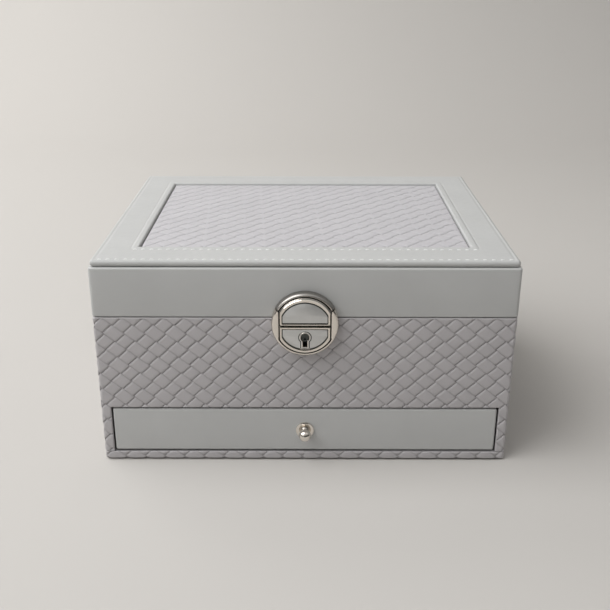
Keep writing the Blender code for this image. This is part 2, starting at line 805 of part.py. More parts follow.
def make_lock_plate():
    plate = bevelled_disc("lock_plate", LOCK_RIM_OUT, nickel, None)
    far = 2 * LOCK_RIM_OUT
    cut(plate, column_cutter("lock_pocket", LOCK_INNER, COLUMN_HALF, (LOCK_BACK_OUT, far)))
    wide, above = 2 * LOCK_RADIUS, LOCK_Z + 2 * LOCK_RADIUS
    inner = column_cutter("lock_mouth", LOCK_INNER, COLUMN_HALF, (-PAST, far))
    keep_common(inner, front_box("lock_mouth_low", (-wide, wide), (-wide, wide), (RIM - FIT, above)))
    cut(plate, inner)
    cut(plate, front_box("ear_cutter", (-wide, wide), (-PAST, far), (LOCK_Z + EAR_RISE, above)))
    screw_z = LOCK_Z - LOCK_SCREW_DROP
    for label, sign in (("left", -1), ("right", 1)):
        x = sign * LOCK_SCREW_HALF
        outs = (-PAST, LOCK_BACK_OUT + PAST)
        cut(plate, front_rod(f"plate_hole_{label}", x, outs, screw_z, SCREW_SHANK + FIT))


def face_plate(name, back_out, look, parent, heights):
    """A D-shaped plate with a raised border and a chamfered arc, which keeps the given z range."""
    half = COLUMN_HALF - FACE_GAP
    top = FACE_OUT + BORDER_RISE
    profile = [
        (0, top),
        (FLAP_RADIUS - FACE_CHAMFER, top),
        (FLAP_RADIUS, top - FACE_CHAMFER),
        (FLAP_RADIUS, back_out),
        (0, back_out),
    ]
    plate = turned(name, profile, look, parent, (0, FRONT, LOCK_Z), ROUND_STEPS)
    outs = (back_out - PAST, top + PAST)
    keep_common(plate, front_box(f"{name}_outline", (-half, half), outs, heights))
    recess_outs = (FACE_OUT, top + PAST)
    recess = column_cutter(
        f"{name}_recess", FLAP_RADIUS - BORDER_WIDTH, half - BORDER_WIDTH, recess_outs
    )
    inner = (heights[0] + BORDER_WIDTH, heights[1] - BORDER_WIDTH)
    keep_common(recess, front_box(f"{name}_recess_ends", (-half, half), (0, 2 * top), inner))
    cut(plate, recess)
    return plate


def make_key_face():
    top = LOCK_Z - SPLIT_GAP / 2
    plate = face_plate("key_face", FACE_BACK_OUT, nickel_satin, None, (LOCK_Z - LOCK_RADIUS, top))
    outs = (FACE_BACK_OUT - PAST, FACE_OUT + BORDER_RISE + PAST)
    hole = front_rod("keyhole", 0, outs, KEY_Z, KEYHOLE_RADIUS)
    half = KEYHOLE_SLOT / 2
    join(hole, front_box("keyhole_slot", (-half, half), outs, (KEY_Z - KEYHOLE_SLOT_DROP, KEY_Z)))
    cut(plate, hole)


def make_key_plug():
    mesh = rod_mesh("key_plug", PLUG_RADIUS, PLUG_OUT - PLUG_BACK_OUT)
    middle = at_front(0, (PLUG_OUT + PLUG_BACK_OUT) / 2, KEY_Z)
    plug = place("key_plug", mesh, steel, key_axis, middle, ALONG_Y)
    half, tall = KEY_SLOT / 2, KEY_SLOT_HALF_LENGTH
    outs = (PLUG_OUT - KEY_SLOT_DEPTH, PLUG_OUT + PAST)
    cut(plug, front_box("key_slot", (-half, half), outs, (KEY_Z - tall, KEY_Z + tall)))


def make_lock_bolt():
    """A bar above the plug, an arm at its left end, and a pin at the arm's top that enters the hook's eye."""
    tip = -HOOK_HALF - BOLT_CLEAR
    arm_right = tip - BOLT_PIN_LENGTH
    arm_left = arm_right - BOLT_ARM
    outs = (BOLT_OUT - BOLT_THICKNESS / 2, BOLT_OUT + BOLT_THICKNESS / 2)
    bar_top = LOCK_Z - BOLT_BAR_DROP
    bar_low = bar_top - BOLT_BAR
    low = at_front(arm_left, outs[1], bar_low)
    high = at_front(arm_left + BOLT_BAR_LENGTH, outs[0], bar_top)
    bolt = board("lock_bolt", low, high, steel, bolt_axis)
    arm_top = EYE_Z + BOLT_PIN + FIT
    join(bolt, front_box("bolt_arm", (arm_left, arm_right), outs, (bar_low, arm_top)))
    pin_start = (arm_left + arm_right) / 2
    join(bolt, cross_rod("bolt_pin", pin_start, tip, BOLT_OUT, EYE_Z, BOLT_PIN, SCREW_STEPS))


def make_lock_screws():
    screw_z = LOCK_Z - LOCK_SCREW_DROP
    seat = INNER_FRONT - LOCK_SCREW_SINK + SEAT
    shank = seat - FRONT + LOCK_BACK_OUT - FIT
    profile = screw_profile(SCREW_SHANK, shank, SCREW_HEAD)
    for label, sign in (("left", -1), ("right", 1)):
        middle = (sign * LOCK_SCREW_HALF, seat, screw_z)
        turned(f"lock_screw_{label}", profile, steel, None, middle, SCREW_STEPS)


def hasp_rod(name, ends, radius):
    """A rod along the hasp's pivot."""
    return cross_rod(name, *ends, PIVOT_OUT, PIVOT_Z, radius, SCREW_STEPS)


def make_hasp_base():
    """The cap over the flap, with the plate behind the flap and the lug that holds its pin."""
    base = bevelled_disc("hasp_base", CAP_OUT, nickel, lid_axis)
    far, wide = 2 * CAP_OUT, 2 * LOCK_RADIUS
    cut(base, front_rod("cap_hollow", 0, (CAP_BACK_OUT, far), LOCK_Z, LOCK_INNER, ROUND_STEPS))
    cap_low = LOCK_Z + EAR_RISE + EAR_GAP
    below = LOCK_Z - wide
    cut(base, front_box("cap_low_cut", (-wide, wide), (-PAST, far), (below, LID_LOW + FIT)))
    plate_half = COLUMN_HALF - 2 * FACE_GAP
    for label, ends in (("left", (-wide, -plate_half)), ("right", (plate_half, wide))):
        cut(base, front_box(f"cap_end_{label}", ends, (-PAST, far), (below, cap_low)))
    lug_heights = (PIVOT_Z - HASP_KNUCKLE + NECK, PIVOT_Z + HASP_KNUCKLE - NECK)
    lug_side = (NECK - HASP_LUG_HALF, HASP_LUG_HALF - NECK)
    join(base, front_box("hasp_lug", lug_side, (FIT + SEAT, PIVOT_OUT), lug_heights))
    join(base, hasp_rod("hasp_eye", (-HASP_LUG_HALF, HASP_LUG_HALF), HASP_KNUCKLE))
    wider = HASP_LUG_HALF + PAST
    cut(base, hasp_rod("hasp_lug_bore", (-wider, wider), HASP_PIN + PIN_PLAY))


def make_hasp_flap():
    low = LOCK_Z + SPLIT_GAP / 2
    heights = (low, LOCK_Z + LOCK_RADIUS)
    flap = face_plate("hasp_flap", FLAP_BACK_OUT, nickel_satin, hasp_axis, heights)
    start = HASP_LUG_HALF + KNUCKLE_GAP
    end = start + HASP_KNUCKLE_LENGTH
    bridge_heights = (PIVOT_Z - HASP_KNUCKLE + NECK, PIVOT_Z + HASP_KNUCKLE - NECK)
    for label, ends in (("left", (-end, -start)), ("right", (start, end))):
        bridge_outs = (PIVOT_OUT, FLAP_BACK_OUT + BRIDGE_BITE)
        bridge_ends = (ends[0] + NECK, ends[1] - NECK)
        join(flap, front_box(f"flap_bridge_{label}", bridge_ends, bridge_outs, bridge_heights))
        join(flap, hasp_rod(f"flap_knuckle_{label}", ends, HASP_KNUCKLE))
    wider = end + PAST
    cut(flap, hasp_rod("flap_bore", (-wider, wider), HASP_PIN + PIN_PLAY))


def make_hasp_pin():
    length = 2 * (HASP_LUG_HALF + KNUCKLE_GAP + HASP_KNUCKLE_LENGTH)
    mesh = rod_mesh("hasp_pin", HASP_PIN, length, SCREW_STEPS)
    place("hasp_pin", mesh, steel, lid_axis, at_front(0, PIVOT_OUT, PIVOT_Z), ALONG_X)


def make_hasp_hook():
    low = LOCK_Z + HOOK_RISE
    corner = at_front(-HOOK_HALF, HOOK_FRONT_OUT, low)
    far_corner = at_front(HOOK_HALF, HOOK_BACK_OUT, low + HOOK_LENGTH)
    hook = board("hasp_hook", corner, far_corner, steel, hasp_axis)
    wider = HOOK_HALF + PAST
    cut(hook, cross_rod("hook_eye", -wider, wider, BOLT_OUT, EYE_Z, EYE_RADIUS, SCREW_STEPS))


# The chest, put together.

clear_scene()
chest = new_collection("jewellery_chest")
cutters = new_collection("cutters")

plain = finish("plain_leathercloth", (0.36, 0.37, 0.36), 0.5)
woven = finish("woven_leathercloth", (0.36, 0.345, 0.355), 0.5)
velvet = finish("grey_velvet", (0.42, 0.41, 0.42), 0.95)
dark_felt = finish("dark_felt", (0.02, 0.02, 0.02), 0.95)
board_grey = finish("grey_board", (0.3, 0.3, 0.3), 0.8)
nickel = finish("polished_nickel", (0.75, 0.71, 0.66), 0.15, 1.0)
nickel_satin = finish("satin_nickel", (0.6, 0.59, 0.57), 0.35, 1.0)
steel = finish("plated_steel", (0.6, 0.58, 0.55), 0.3, 1.0)
mirror_glass = finish("mirror_glass", (0.9, 0.92, 0.92), 0.02, 1.0)

lid_axis = carrier("lid_axis", (0, HINGE_Y, HINGE_Z))
hasp_axis = carrier("hasp_axis", at_front(0, PIVOT_OUT, PIVOT_Z), lid_axis)
drawer_axis = carrier("drawer_axis", (0, FRONT, KNOB_Z))
tray_axis = carrier("tray_axis", (0, 0, TRAY_LOW))
key_axis = carrier("key_axis", at_front(0, PLUG_OUT, KEY_Z))
bolt_axis = carrier("bolt_axis", at_front(0, BOLT_OUT, EYE_Z))

make_base()
make_side_walls()
make_back_wall()
make_front_wall()
make_shelf()
make_ledges()
make_lid_walls()
make_lid_top()
make_window()
make_mirror()
make_drawer_front()
make_drawer_box()
make_drawer_dividers()
make_knob()
make_tray_shell()
make_tray_dividers()
make_ring_pad()
make_hinges()
make_lock_plate()
make_key_face()
make_key_plug()
make_lock_bolt()
make_lock_screws()
make_hasp_base()
make_hasp_flap()
make_hasp_pin()
make_hasp_hook()
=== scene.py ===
"""The looks of the jewellery chest: woven leathercloth on boards, a padded lid, a nickel lock, velvet
inside. Metres, +Z up. The front faces -Y, and X runs along the width."""

import math

import bmesh
import bpy
import numpy as np
from mathutils import Matrix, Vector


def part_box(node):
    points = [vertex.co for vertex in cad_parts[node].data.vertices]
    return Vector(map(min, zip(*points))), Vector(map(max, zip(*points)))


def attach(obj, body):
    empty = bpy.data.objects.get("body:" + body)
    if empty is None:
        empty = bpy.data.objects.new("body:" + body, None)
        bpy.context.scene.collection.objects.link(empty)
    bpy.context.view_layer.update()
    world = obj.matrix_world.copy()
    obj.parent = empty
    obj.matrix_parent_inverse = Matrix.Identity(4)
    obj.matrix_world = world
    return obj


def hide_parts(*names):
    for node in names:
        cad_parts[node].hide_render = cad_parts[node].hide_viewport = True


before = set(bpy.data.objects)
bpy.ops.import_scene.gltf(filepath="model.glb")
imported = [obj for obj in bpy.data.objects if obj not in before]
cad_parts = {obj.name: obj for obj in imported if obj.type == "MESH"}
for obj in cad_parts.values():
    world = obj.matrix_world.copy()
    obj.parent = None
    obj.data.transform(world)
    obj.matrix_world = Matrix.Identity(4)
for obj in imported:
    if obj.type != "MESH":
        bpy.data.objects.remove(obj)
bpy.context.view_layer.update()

MM = 0.001

# --------------------------------------------------------------------------------------------------------
# Studio. A pale floor that sweeps up into a backdrop, a large soft light high on the left, a weak one in
# front, one on the backdrop, and a surround that is pale above. The camera looks down on the chest from the
# front.

CAMERA_PLACE = (0.0003, -0.5204, 0.2840)
CAMERA_DOWN, CAMERA_LEFT, CAMERA_ROLL = 0.36901, 0.00082, 0.00156
CAMERA_LENS = 48.87
CAMERA_SHIFT = -0.0492
FLOOR_COLOUR = (0.545, 0.527, 0.503)
PALE_SIDE = (-0.15, 0.35, 0.92)
PALE_FROM, PALE_TO = -0.1, 0.6
DIM, PALE, BACKGROUND = 0.04, 0.70, 0.45
SURROUND_COLOUR = (1.0, 0.99, 0.975)
SWEEP_START, SWEEP_RADIUS, SWEEP_HALF, SWEEP_FRONT = 0.75, 0.6, 2.4, -1.8
LAMPS = {  # place, target, side, watts, colour
    "key": ((-0.85, -0.36, 1.25), (0, 0, 0.06), 1.3, 20, (1.0, 1.0, 1.0)),
    "fill": ((-0.7, -1.4, 0.75), (0, 0, 0.06), 0.9, 0.8, (1.0, 0.985, 0.97)),
    "backdrop_light": ((-0.8, 0.7, 0.9), (0, 1.25, 0.25), 0.8, 5.5, (1.0, 0.985, 0.965)),
}


def grid_faces(rows, columns, ring=False):
    """Corner numbers of the quads of a grid of points, row by row. A ring joins each row's ends."""
    down, along = np.meshgrid(
        np.arange(rows - 1), np.arange(columns if ring else columns - 1), indexing="ij"
    )
    down, along = down.ravel(), along.ravel()
    after = (along + 1) % columns
    corners = [down * columns + along, down * columns + after]
    corners += [(down + 1) * columns + after, (down + 1) * columns + along]
    return np.stack(corners, axis=1)


def blank(name, colour, roughness, metallic=0.0):
    """A Principled material: (material, node tree, shader, Object coordinates)."""
    made = bpy.data.materials.new(name)
    made.use_nodes = True
    tree = made.node_tree
    shader = tree.nodes["Principled BSDF"]
    shader.inputs["Base Color"].default_value = (*colour, 1)
    shader.inputs["Roughness"].default_value = roughness
    shader.inputs["Metallic"].default_value = metallic
    where = tree.nodes.new("ShaderNodeTexCoord").outputs["Object"]
    return made, tree, shader, where


def noise(tree, where, scale, detail=3.0, stretch=None):
    """The value of a noise with `scale` patches a metre, stretched along the axes if asked."""
    if stretch:
        mapping = tree.nodes.new("ShaderNodeMapping")
        mapping.inputs["Scale"].default_value = stretch
        tree.links.new(where, mapping.inputs["Vector"])
        where = mapping.outputs["Vector"]
    node = tree.nodes.new("ShaderNodeTexNoise")
    node.inputs["Scale"].default_value = scale
    node.inputs["Detail"].default_value = detail
    tree.links.new(where, node.inputs["Vector"])
    return node.outputs["Fac"]


def spread(tree, value, low, high, taken=(0.3, 0.7)):
    """The part of a value's range that is taken, stretched to run from low to high."""
    node = tree.nodes.new("ShaderNodeMapRange")
    node.inputs["From Min"].default_value = taken[0]
    node.inputs["From Max"].default_value = taken[1]
    node.inputs["To Min"].default_value = low
    node.inputs["To Max"].default_value = high
    tree.links.new(value, node.inputs["Value"])
    return node.outputs["Result"]


def tint(tree, shader, value, dark, light):
    """The shader's colour mixed between two colours by a value."""
    node = tree.nodes.new("ShaderNodeMix")
    node.data_type = "RGBA"
    node.inputs["A"].default_value = (*dark, 1)
    node.inputs["B"].default_value = (*light, 1)
    tree.links.new(value, node.inputs["Factor"])
    tree.links.new(node.outputs["Result"], shader.inputs["Base Color"])


def bump(tree, shader, height, depth, strength=1.0):
    """Raises the surface by a height times a depth in metres, on top of any bump that it already has."""
    node = tree.nodes.new("ShaderNodeBump")
    node.inputs["Strength"].default_value = strength
    node.inputs["Distance"].default_value = depth
    tree.links.new(height, node.inputs["Height"])
    if shader.inputs["Normal"].is_linked:
        tree.links.new(shader.inputs["Normal"].links[0].from_socket, node.inputs["Normal"])
    tree.links.new(node.outputs["Normal"], shader.inputs["Normal"])


def scaled(colour, share):
    """A colour made darker or lighter by a share."""
    return tuple(part * share for part in colour)


def make_sweep():
    """Floor and backdrop as one sheet: a line that runs back, turns up through a quarter circle and
    rises."""
    turn = np.linspace(0, math.pi / 2, 24)
    back = np.concatenate([[SWEEP_FRONT], SWEEP_START + SWEEP_RADIUS * np.sin(turn)])
    back = np.append(back, back[-1])
    up = np.concatenate([[0.0], SWEEP_RADIUS * (1 - np.cos(turn))])
    up = np.append(up, 2 * SWEEP_HALF)
    points = np.empty((len(back), 2, 3))
    points[..., 0] = (-SWEEP_HALF, SWEEP_HALF)
    points[..., 1] = back[:, None]
    points[..., 2] = up[:, None]
    mesh = bpy.data.meshes.new("sweep")
    mesh.from_pydata(points.reshape(-1, 3), [], grid_faces(len(back), 2).tolist())
    mesh.shade_smooth()
    sweep = bpy.data.objects.new("sweep", mesh)
    bpy.context.scene.collection.objects.link(sweep)
    look, tree, shader, where = blank("paper", FLOOR_COLOUR, 0.85)
    tint(tree, shader, noise(tree, where, 3), scaled(FLOOR_COLOUR, 0.98), FLOOR_COLOUR)
    mesh.materials.append(look)


def soft_light(name, place, target, size, watts, colour):
    """A square lamp at a place, turned towards a target."""
    lamp = bpy.data.lights.new(name, "AREA")
    lamp.shape = "SQUARE"
    lamp.size = size
    lamp.energy = watts
    lamp.color = colour
    item = bpy.data.objects.new(name, lamp)
    bpy.context.scene.collection.objects.link(item)
    item.location = place
    x, y, z = np.array(target) - np.array(place)
    item.rotation_euler = (math.atan2(math.hypot(x, y), -z), 0, math.atan2(x, -y) + math.pi)


def make_camera():
    camera = bpy.data.cameras.new("camera")
    camera.lens = CAMERA_LENS
    camera.sensor_width = 36
    camera.shift_y = CAMERA_SHIFT
    item = bpy.data.objects.new("camera", camera)
    bpy.context.scene.collection.objects.link(item)
    turn = Matrix.Rotation(CAMERA_LEFT, 4, "Z") @ Matrix.Rotation(math.pi / 2 - CAMERA_DOWN, 4, "X")
    item.matrix_world = Matrix.Translation(CAMERA_PLACE) @ turn @ Matrix.Rotation(CAMERA_ROLL, 4, "Z")
    bpy.context.scene.camera = item


def make_surround():
    """A room that is pale above and behind the chest, dim in front of it, and plain to the camera."""
    world = bpy.data.worlds.new("surround")
    world.use_nodes = True
    tree = world.node_tree
    light = tree.nodes["Background"]
    light.inputs["Color"].default_value = (*SURROUND_COLOUR, 1)
    where = tree.nodes.new("ShaderNodeTexCoord").outputs["Generated"]
    along = tree.nodes.new("ShaderNodeVectorMath")
    along.operation = "DOT_PRODUCT"
    along.inputs[1].default_value = PALE_SIDE
    tree.links.new(where, along.inputs[0])
    seen = tree.nodes.new("ShaderNodeMix")
    seen.inputs["B"].default_value = BACKGROUND
    tree.links.new(tree.nodes.new("ShaderNodeLightPath").outputs["Is Camera Ray"], seen.inputs["Factor"])
    tree.links.new(spread(tree, along.outputs["Value"], DIM, PALE, (PALE_FROM, PALE_TO)), seen.inputs["A"])
    tree.links.new(seen.outputs["Result"], light.inputs["Strength"])
    bpy.context.scene.world = world


make_sweep()
make_camera()
make_surround()
for lamp_name, lamp_values in LAMPS.items():
    soft_light(lamp_name, *lamp_values)
bpy.context.scene.view_settings.view_transform = "Standard"

# --------------------------------------------------------------------------------------------------------
# Base. A board wrapped in the woven cloth, whose edge shows as a narrow rail under the drawer, and a thin
# sheet of dark felt glued under it.

WOVEN_COLOUR = (0.462, 0.446, 0.455)
FELT_COLOUR = (0.035, 0.034, 0.034)
BOARD_COLOUR = (0.42, 0.41, 0.40)

# The weave: a plain weave turned to slant, whose large and small pillows take turns along each strap.
PITCH = 11.75 * MM
WEAVE_START = 61.6 * MM  # from a large pillow to the front's middle
WEAVE_DROP = 10 * MM  # from the rim to the first row
ROW = 10.15 * MM
LEAN = 0.75 * MM
JOG = 0.073
WEAK_JOG = 0.28
SEAM_DEPTH, SEAM_HALF = 0.50 * MM, 0.34 * MM
CROSS_DEPTH, CROSS_HALF = 0.36 * MM, 0.32 * MM
CROWN, CROWN_WIDTH = 0.30 * MM, 1.5 * MM
# Partly the seams' darker print and partly painted shade; the coverings also use it for painted shade in
# recesses.
FURROW_PRINT_AND_SHADE = 0.70  # how dark the cloth's colour is at a furrow's bottom

side_low, side_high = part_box("case_right_wall")
SIDE, FRONT, BACK = side_high[0], side_low[1], side_high[1]
INNER_SIDE = side_low[0]
WALL = SIDE - INNER_SIDE
RIM = side_high[2]
WALL_LOW = side_low[2]
CORNER = 2 * MM
BASE_ROUND = 0.6 * MM
BASE_STEP, BASE_TURN_STEP = 0.6 * MM, 0.5 * MM
RAIL_EDGE = 0.5 * MM  # how far the weave shows over the rail's edges


def weave_depth(across, up, row=ROW):
    """How far the cloth lies below its pillows' tops. Two sets of seams cut the cloth into slanting cells.
    The straps' long seams jog to and fro from cell to cell, which makes every other pillow a large one, and
    in every second row only each third pillow has its full jog. A seam is a bell-shaped furrow between
    crowns."""
    step_up = np.array([(PITCH - LEAN) / 2, row / 2])
    step_down = np.array([(PITCH + LEAN) / 2, -row / 2])
    area = step_up[0] * -step_down[1] + step_up[1] * step_down[0]
    s = (across * -step_down[1] + up * step_down[0]) / area
    t = (across * step_up[1] - up * step_up[0]) / area
    i = np.floor(s + 0.5)
    nearest = np.full(np.shape(s), np.inf)
    for j in (np.floor(t) - 1, np.floor(t), np.floor(t) + 1):
        large = np.mod(i + j, 2) == 0
        pillow = np.where(large, j, j + 1)
        weak = (np.mod((i - pillow) / 2, 2) == 1) & (np.mod((i + pillow) / 2, 3) != 0)
        jog = np.where(large, JOG, -JOG) * np.where(weak, WEAK_JOG, 1)
        nearest = np.minimum(nearest, np.abs(t - (j + 0.5 + jog)))
    long_seam = nearest * area / np.hypot(*step_up)
    cross_seam = np.abs(s - i - 0.5)
    cross_seam = np.minimum(cross_seam, np.abs(s - i + 0.5)) * area / np.hypot(*step_down)
    depth = SEAM_DEPTH * np.exp(-((long_seam / SEAM_HALF) ** 2))
    depth = np.maximum(depth, CROSS_DEPTH * np.exp(-((cross_seam / CROSS_HALF) ** 2)))
    crown = CROWN * (np.exp(-2 * long_seam / CROWN_WIDTH) + 0.8 * np.exp(-2 * cross_seam / CROWN_WIDTH))
    return depth + crown


def weave_on_case(along, z):
    """The weave where the cloth runs round the case, counted from a large pillow of the first row under the
    rim."""
    return weave_depth(along + WEAVE_START, z - (RIM - WEAVE_DROP))


def stops(places, step):
    """Even stops about `step` apart between each pair of places, and the places themselves."""
    runs = []
    for start, end in zip(places[:-1], places[1:]):
        count = max(1, round(abs(end - start) / step))
        runs.append(np.linspace(start, end, count + 1)[:-1])
    return np.append(np.concatenate(runs), places[-1])


def outline_marks(half_x, half_y, radius):
    """Distances along a rounded rectangle, from the front's middle, where its straights and corners
    start."""
    a, b, quarter = half_x - radius, half_y - radius, math.pi * radius / 2
    return np.cumsum([0, a, quarter, 2 * b, quarter, 2 * a, quarter, 2 * b, quarter, a])


def outline(along, inset, half_x, half_y, radius):
    """(x, y) at a distance along a rounded rectangle, drawn in by an inset: the corner's centre, which
    moves along the straights, plus what is left of the radius. Past the radius the corners are mitred."""
    marks = outline_marks(half_x, half_y, radius)
    along = np.mod(along, marks[-1])
    a, b = half_x - radius, half_y - radius
    angle = np.interp(along, marks, np.radians([-90, -90, 0, 0, 90, 90, 180, 180, 270, 270]))
    middle_x = np.interp(along, marks, [0, a, a, a, a, -a, -a, -a, -a, 0])
    middle_y = np.interp(along, marks, [-b, -b, -b, b, b, b, b, -b, -b, -b])
    reach = np.maximum(inset, radius)
    middle_x = np.clip(middle_x, reach - half_x, half_x - reach)
    middle_y = np.clip(middle_y, reach - half_y, half_y - reach)
    left = np.maximum(radius - inset, 0)
    return middle_x + left * np.cos(angle), middle_y + left * np.sin(angle)


def carried(along, inset, z, half_x, half_y, radius, ring=True):
    """A section, as insets and heights, carried along the rounded rectangle: (points, faces), a row for
    each point of the section."""
    inset, z = (np.broadcast_to(part, (np.shape(inset)[0], len(along))) for part in (inset, z))
    x, y = outline(along[None, :], inset, half_x, half_y, radius)
    return np.stack([x, y, z], axis=-1).reshape(-1, 3), grid_faces(len(z), len(along), ring)


def column(values):
    """Values as a column, one row for each point of a section."""
    return np.asarray(values, float)[:, None]


def all_round(half_x, half_y, radius, step):
    """Stops all the way round, without the last, which is the first again. The corners take smaller
    steps."""
    marks = outline_marks(half_x, half_y, radius)
    runs = []
    for index, (start, end) in enumerate(zip(marks[:-1], marks[1:])):
        runs.append(stops([start, end], step if index % 2 == 0 else min(step, radius / 3))[:-1])
    return np.concatenate(runs)


def turned_edge(start, end, radius, steps=4):
    """(inset, z) along an arc about 0, 0, between two angles in degrees."""
    angle = np.radians(np.linspace(start, end, steps + 1))
    return radius * np.cos(angle), radius * np.sin(angle)


def piece(name, parts, look, body, nodes=(), closed=True, depth=None):
    """One smooth mesh of (points, faces) parts, doubles merged, riding on a body and standing for CAD
    nodes. A closed one has its faces turned outwards, and an open one keeps them as they are. The furrows'
    depths, if given, are for the first points, and kept as an attribute where 1 is the deepest; the woven
    cloths darken their colour by it, partly as the seams' print and partly as painted shade, and callers
    also put painted shade for recesses into it."""
    points, faces, count = [], [], 0
    for part_points, part_faces in parts:
        part_points = np.asarray(part_points).reshape(-1, 3)
        points.append(part_points)
        faces.append(part_faces + count)
        count += len(part_points)
    mesh = bpy.data.meshes.new(name)
    mesh.from_pydata(np.concatenate(points), [], np.concatenate(faces).tolist())
    if depth is not None:
        values = np.zeros(count, np.float32)
        values[: depth.size] = np.clip((depth.ravel() - CROWN) / SEAM_DEPTH, 0, 1)
        mesh.attributes.new("furrow", "FLOAT", "POINT").data.foreach_set("value", values)
    shape = bmesh.new()
    shape.from_mesh(mesh)
    bmesh.ops.remove_doubles(shape, verts=shape.verts, dist=0.001 * MM)
    if closed:
        bmesh.ops.recalc_face_normals(shape, faces=shape.faces)
    shape.to_mesh(mesh)
    shape.free()
    mesh.set_sharp_from_angle(angle=math.radians(50))
    mesh.materials.append(look)
    item = bpy.data.objects.new(name, mesh)
    bpy.context.scene.collection.objects.link(item)
    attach(item, body)
    if nodes:
        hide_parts(*nodes)
    return item


def finish_node(node, look):
    """A CAD node that stays gets its finish."""
    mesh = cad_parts[node].data
    mesh.materials.clear()
    mesh.materials.append(look)


def leathercloth(name, colour):
    """Coated cloth: fine pebbled grain, faint patches of tone and of gloss."""
    look, tree, shader, where = blank(name, colour, 0.5)
    tint(tree, shader, noise(tree, where, 40, 4), scaled(colour, 0.94), scaled(colour, 1.05))
    tree.links.new(spread(tree, noise(tree, where, 300), 0.42, 0.56), shader.inputs["Roughness"])
    shader.inputs["Specular IOR Level"].default_value = 0.35
    cells = tree.nodes.new("ShaderNodeTexVoronoi")
    cells.inputs["Scale"].default_value = 2400
    tree.links.new(where, cells.inputs["Vector"])
    bump(tree, shader, cells.outputs["Distance"], 0.03 * MM, 0.5)
    bump(tree, shader, noise(tree, where, 900), 0.05 * MM, 0.4)
    return look


def woven_cloth(name, colour, shade):
    """Leathercloth whose colour is darker by the furrow attribute: along the furrows between the straps,
    partly as the seams' print and partly as painted shade, and as painted shade in the recesses that the
    coverings mark.
    """
    look = leathercloth(name, colour)
    tree = look.node_tree
    shader = tree.nodes["Principled BSDF"]
    furrow_and_shade = tree.nodes.new("ShaderNodeAttribute")
    furrow_and_shade.attribute_name = "furrow"
    mix = tree.nodes.new("ShaderNodeMix")
    mix.data_type = "RGBA"
    mix.inputs["B"].default_value = (*scaled(colour, shade), 1)
    tree.links.new(furrow_and_shade.outputs["Fac"], mix.inputs["Factor"])
    tree.links.new(shader.inputs["Base Color"].links[0].from_socket, mix.inputs["A"])
    tree.links.new(mix.outputs["Result"], shader.inputs["Base Color"])
    return look


woven_look = woven_cloth("woven_leathercloth", WOVEN_COLOUR, FURROW_PRINT_AND_SHADE)


def make_base():
    """Section: along the underside, round the lower edge, up the rail, round the upper edge, and in
    again."""
    low, high = (corner[2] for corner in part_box("base_board"))
    round_x, round_z = turned_edge(180, 90, BASE_ROUND)
    middle = min(SIDE, BACK)
    rail = stops([low + BASE_ROUND, high - BASE_ROUND], BASE_TURN_STEP)[1:-1]
    inset = [middle, *(BASE_ROUND + round_x[::-1]), *(0 * rail), *(BASE_ROUND + round_x), middle]
    z = [low, *(low + BASE_ROUND - round_z[::-1]), *rail, *(high - BASE_ROUND + round_z), high]
    inset, z = column(inset), column(z)
    along = all_round(SIDE, BACK, CORNER, BASE_STEP)
    depth = weave_on_case(along[None, :], z) * (inset < RAIL_EDGE)
    parts = [carried(along, inset + depth, z, SIDE, BACK, CORNER)]
    # The underside and the hidden faces past the rail's edges take the full darkening: painted shade under
    # the chest.
    shade = np.where(inset > RAIL_EDGE, CROWN + SEAM_DEPTH, depth)
    piece("base_covering", parts, woven_look, "case", ["base_board"], depth=shade)


def make_felt():
    """Matted fibres in the sheet under the base."""
    look, tree, shader, where = blank("felt", FELT_COLOUR, 0.95)
    fibres = noise(tree, where, 1800, 6)
    tint(tree, shader, fibres, scaled(FELT_COLOUR, 0.6), scaled(FELT_COLOUR, 1.6))
    bump(tree, shader, fibres, 0.15 * MM)
    finish_node("base_felt", look)


make_base()
make_felt()

# --------------------------------------------------------------------------------------------------------
# Case walls. Fibreboard wrapped in woven leathercloth, which runs round the corners, turns over the rim and
# rolls into the drawer's opening. Front, back and sides are one cloth, cut where the corners turn.

RIM_ROUND = 0.8 * MM
FOOT_ROUND = 0.5 * MM
OPENING_ROUND = 0.9 * MM
CLOTH = 1.5 * MM  # how thick the wrapped layer is before the board
OPENING_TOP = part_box("case_front_wall")[0][2]
RIM_STEP = 1.5 * MM
FRONT_STEP, ROLL_STEP = 0.45 * MM, 0.15 * MM
SIDE_STEP, BACK_STEP, HEIGHT_STEP = 0.55 * MM, 0.6 * MM, 0.5 * MM


def case_section(step):
    """(insets, heights, 1 where the weave shows): from under the wall, up its face, over the rim, down
    inside."""
    round_x, round_z = turned_edge(180, 90, RIM_ROUND)
    foot_x, foot_z = turned_edge(270, 180, FOOT_ROUND, 3)
    face = stops([WALL_LOW + FOOT_ROUND, OPENING_TOP, RIM - RIM_ROUND], step)[1:]
    across = stops([RIM_ROUND, WALL - FOOT_ROUND], RIM_STEP)[1:]
    inset = [CLOTH, *(FOOT_ROUND + foot_x), *(0 * face), *(RIM_ROUND + round_x[1:]), *across, WALL, WALL]
    z = [WALL_LOW, *(WALL_LOW + FOOT_ROUND + foot_z), *face, *(RIM - RIM_ROUND + round_z[1:])]
    z += [*(0 * across + RIM), RIM - FOOT_ROUND, RIM - CLOTH]
    on_face = np.array(inset) < 0.001 * MM
    return column(inset), column(z), column(on_face)


def opening_roll(x, z):
    """How far the cloth has turned in beside the drawer's opening: a quarter circle over the last
    stretch."""
    gap = np.hypot(np.maximum(np.abs(x) - INNER_SIDE, 0), np.maximum(z - OPENING_TOP, 0))
    rest = np.clip(OPENING_ROUND - gap, 0, None)
    return OPENING_ROUND - np.sqrt(OPENING_ROUND**2 - rest**2)


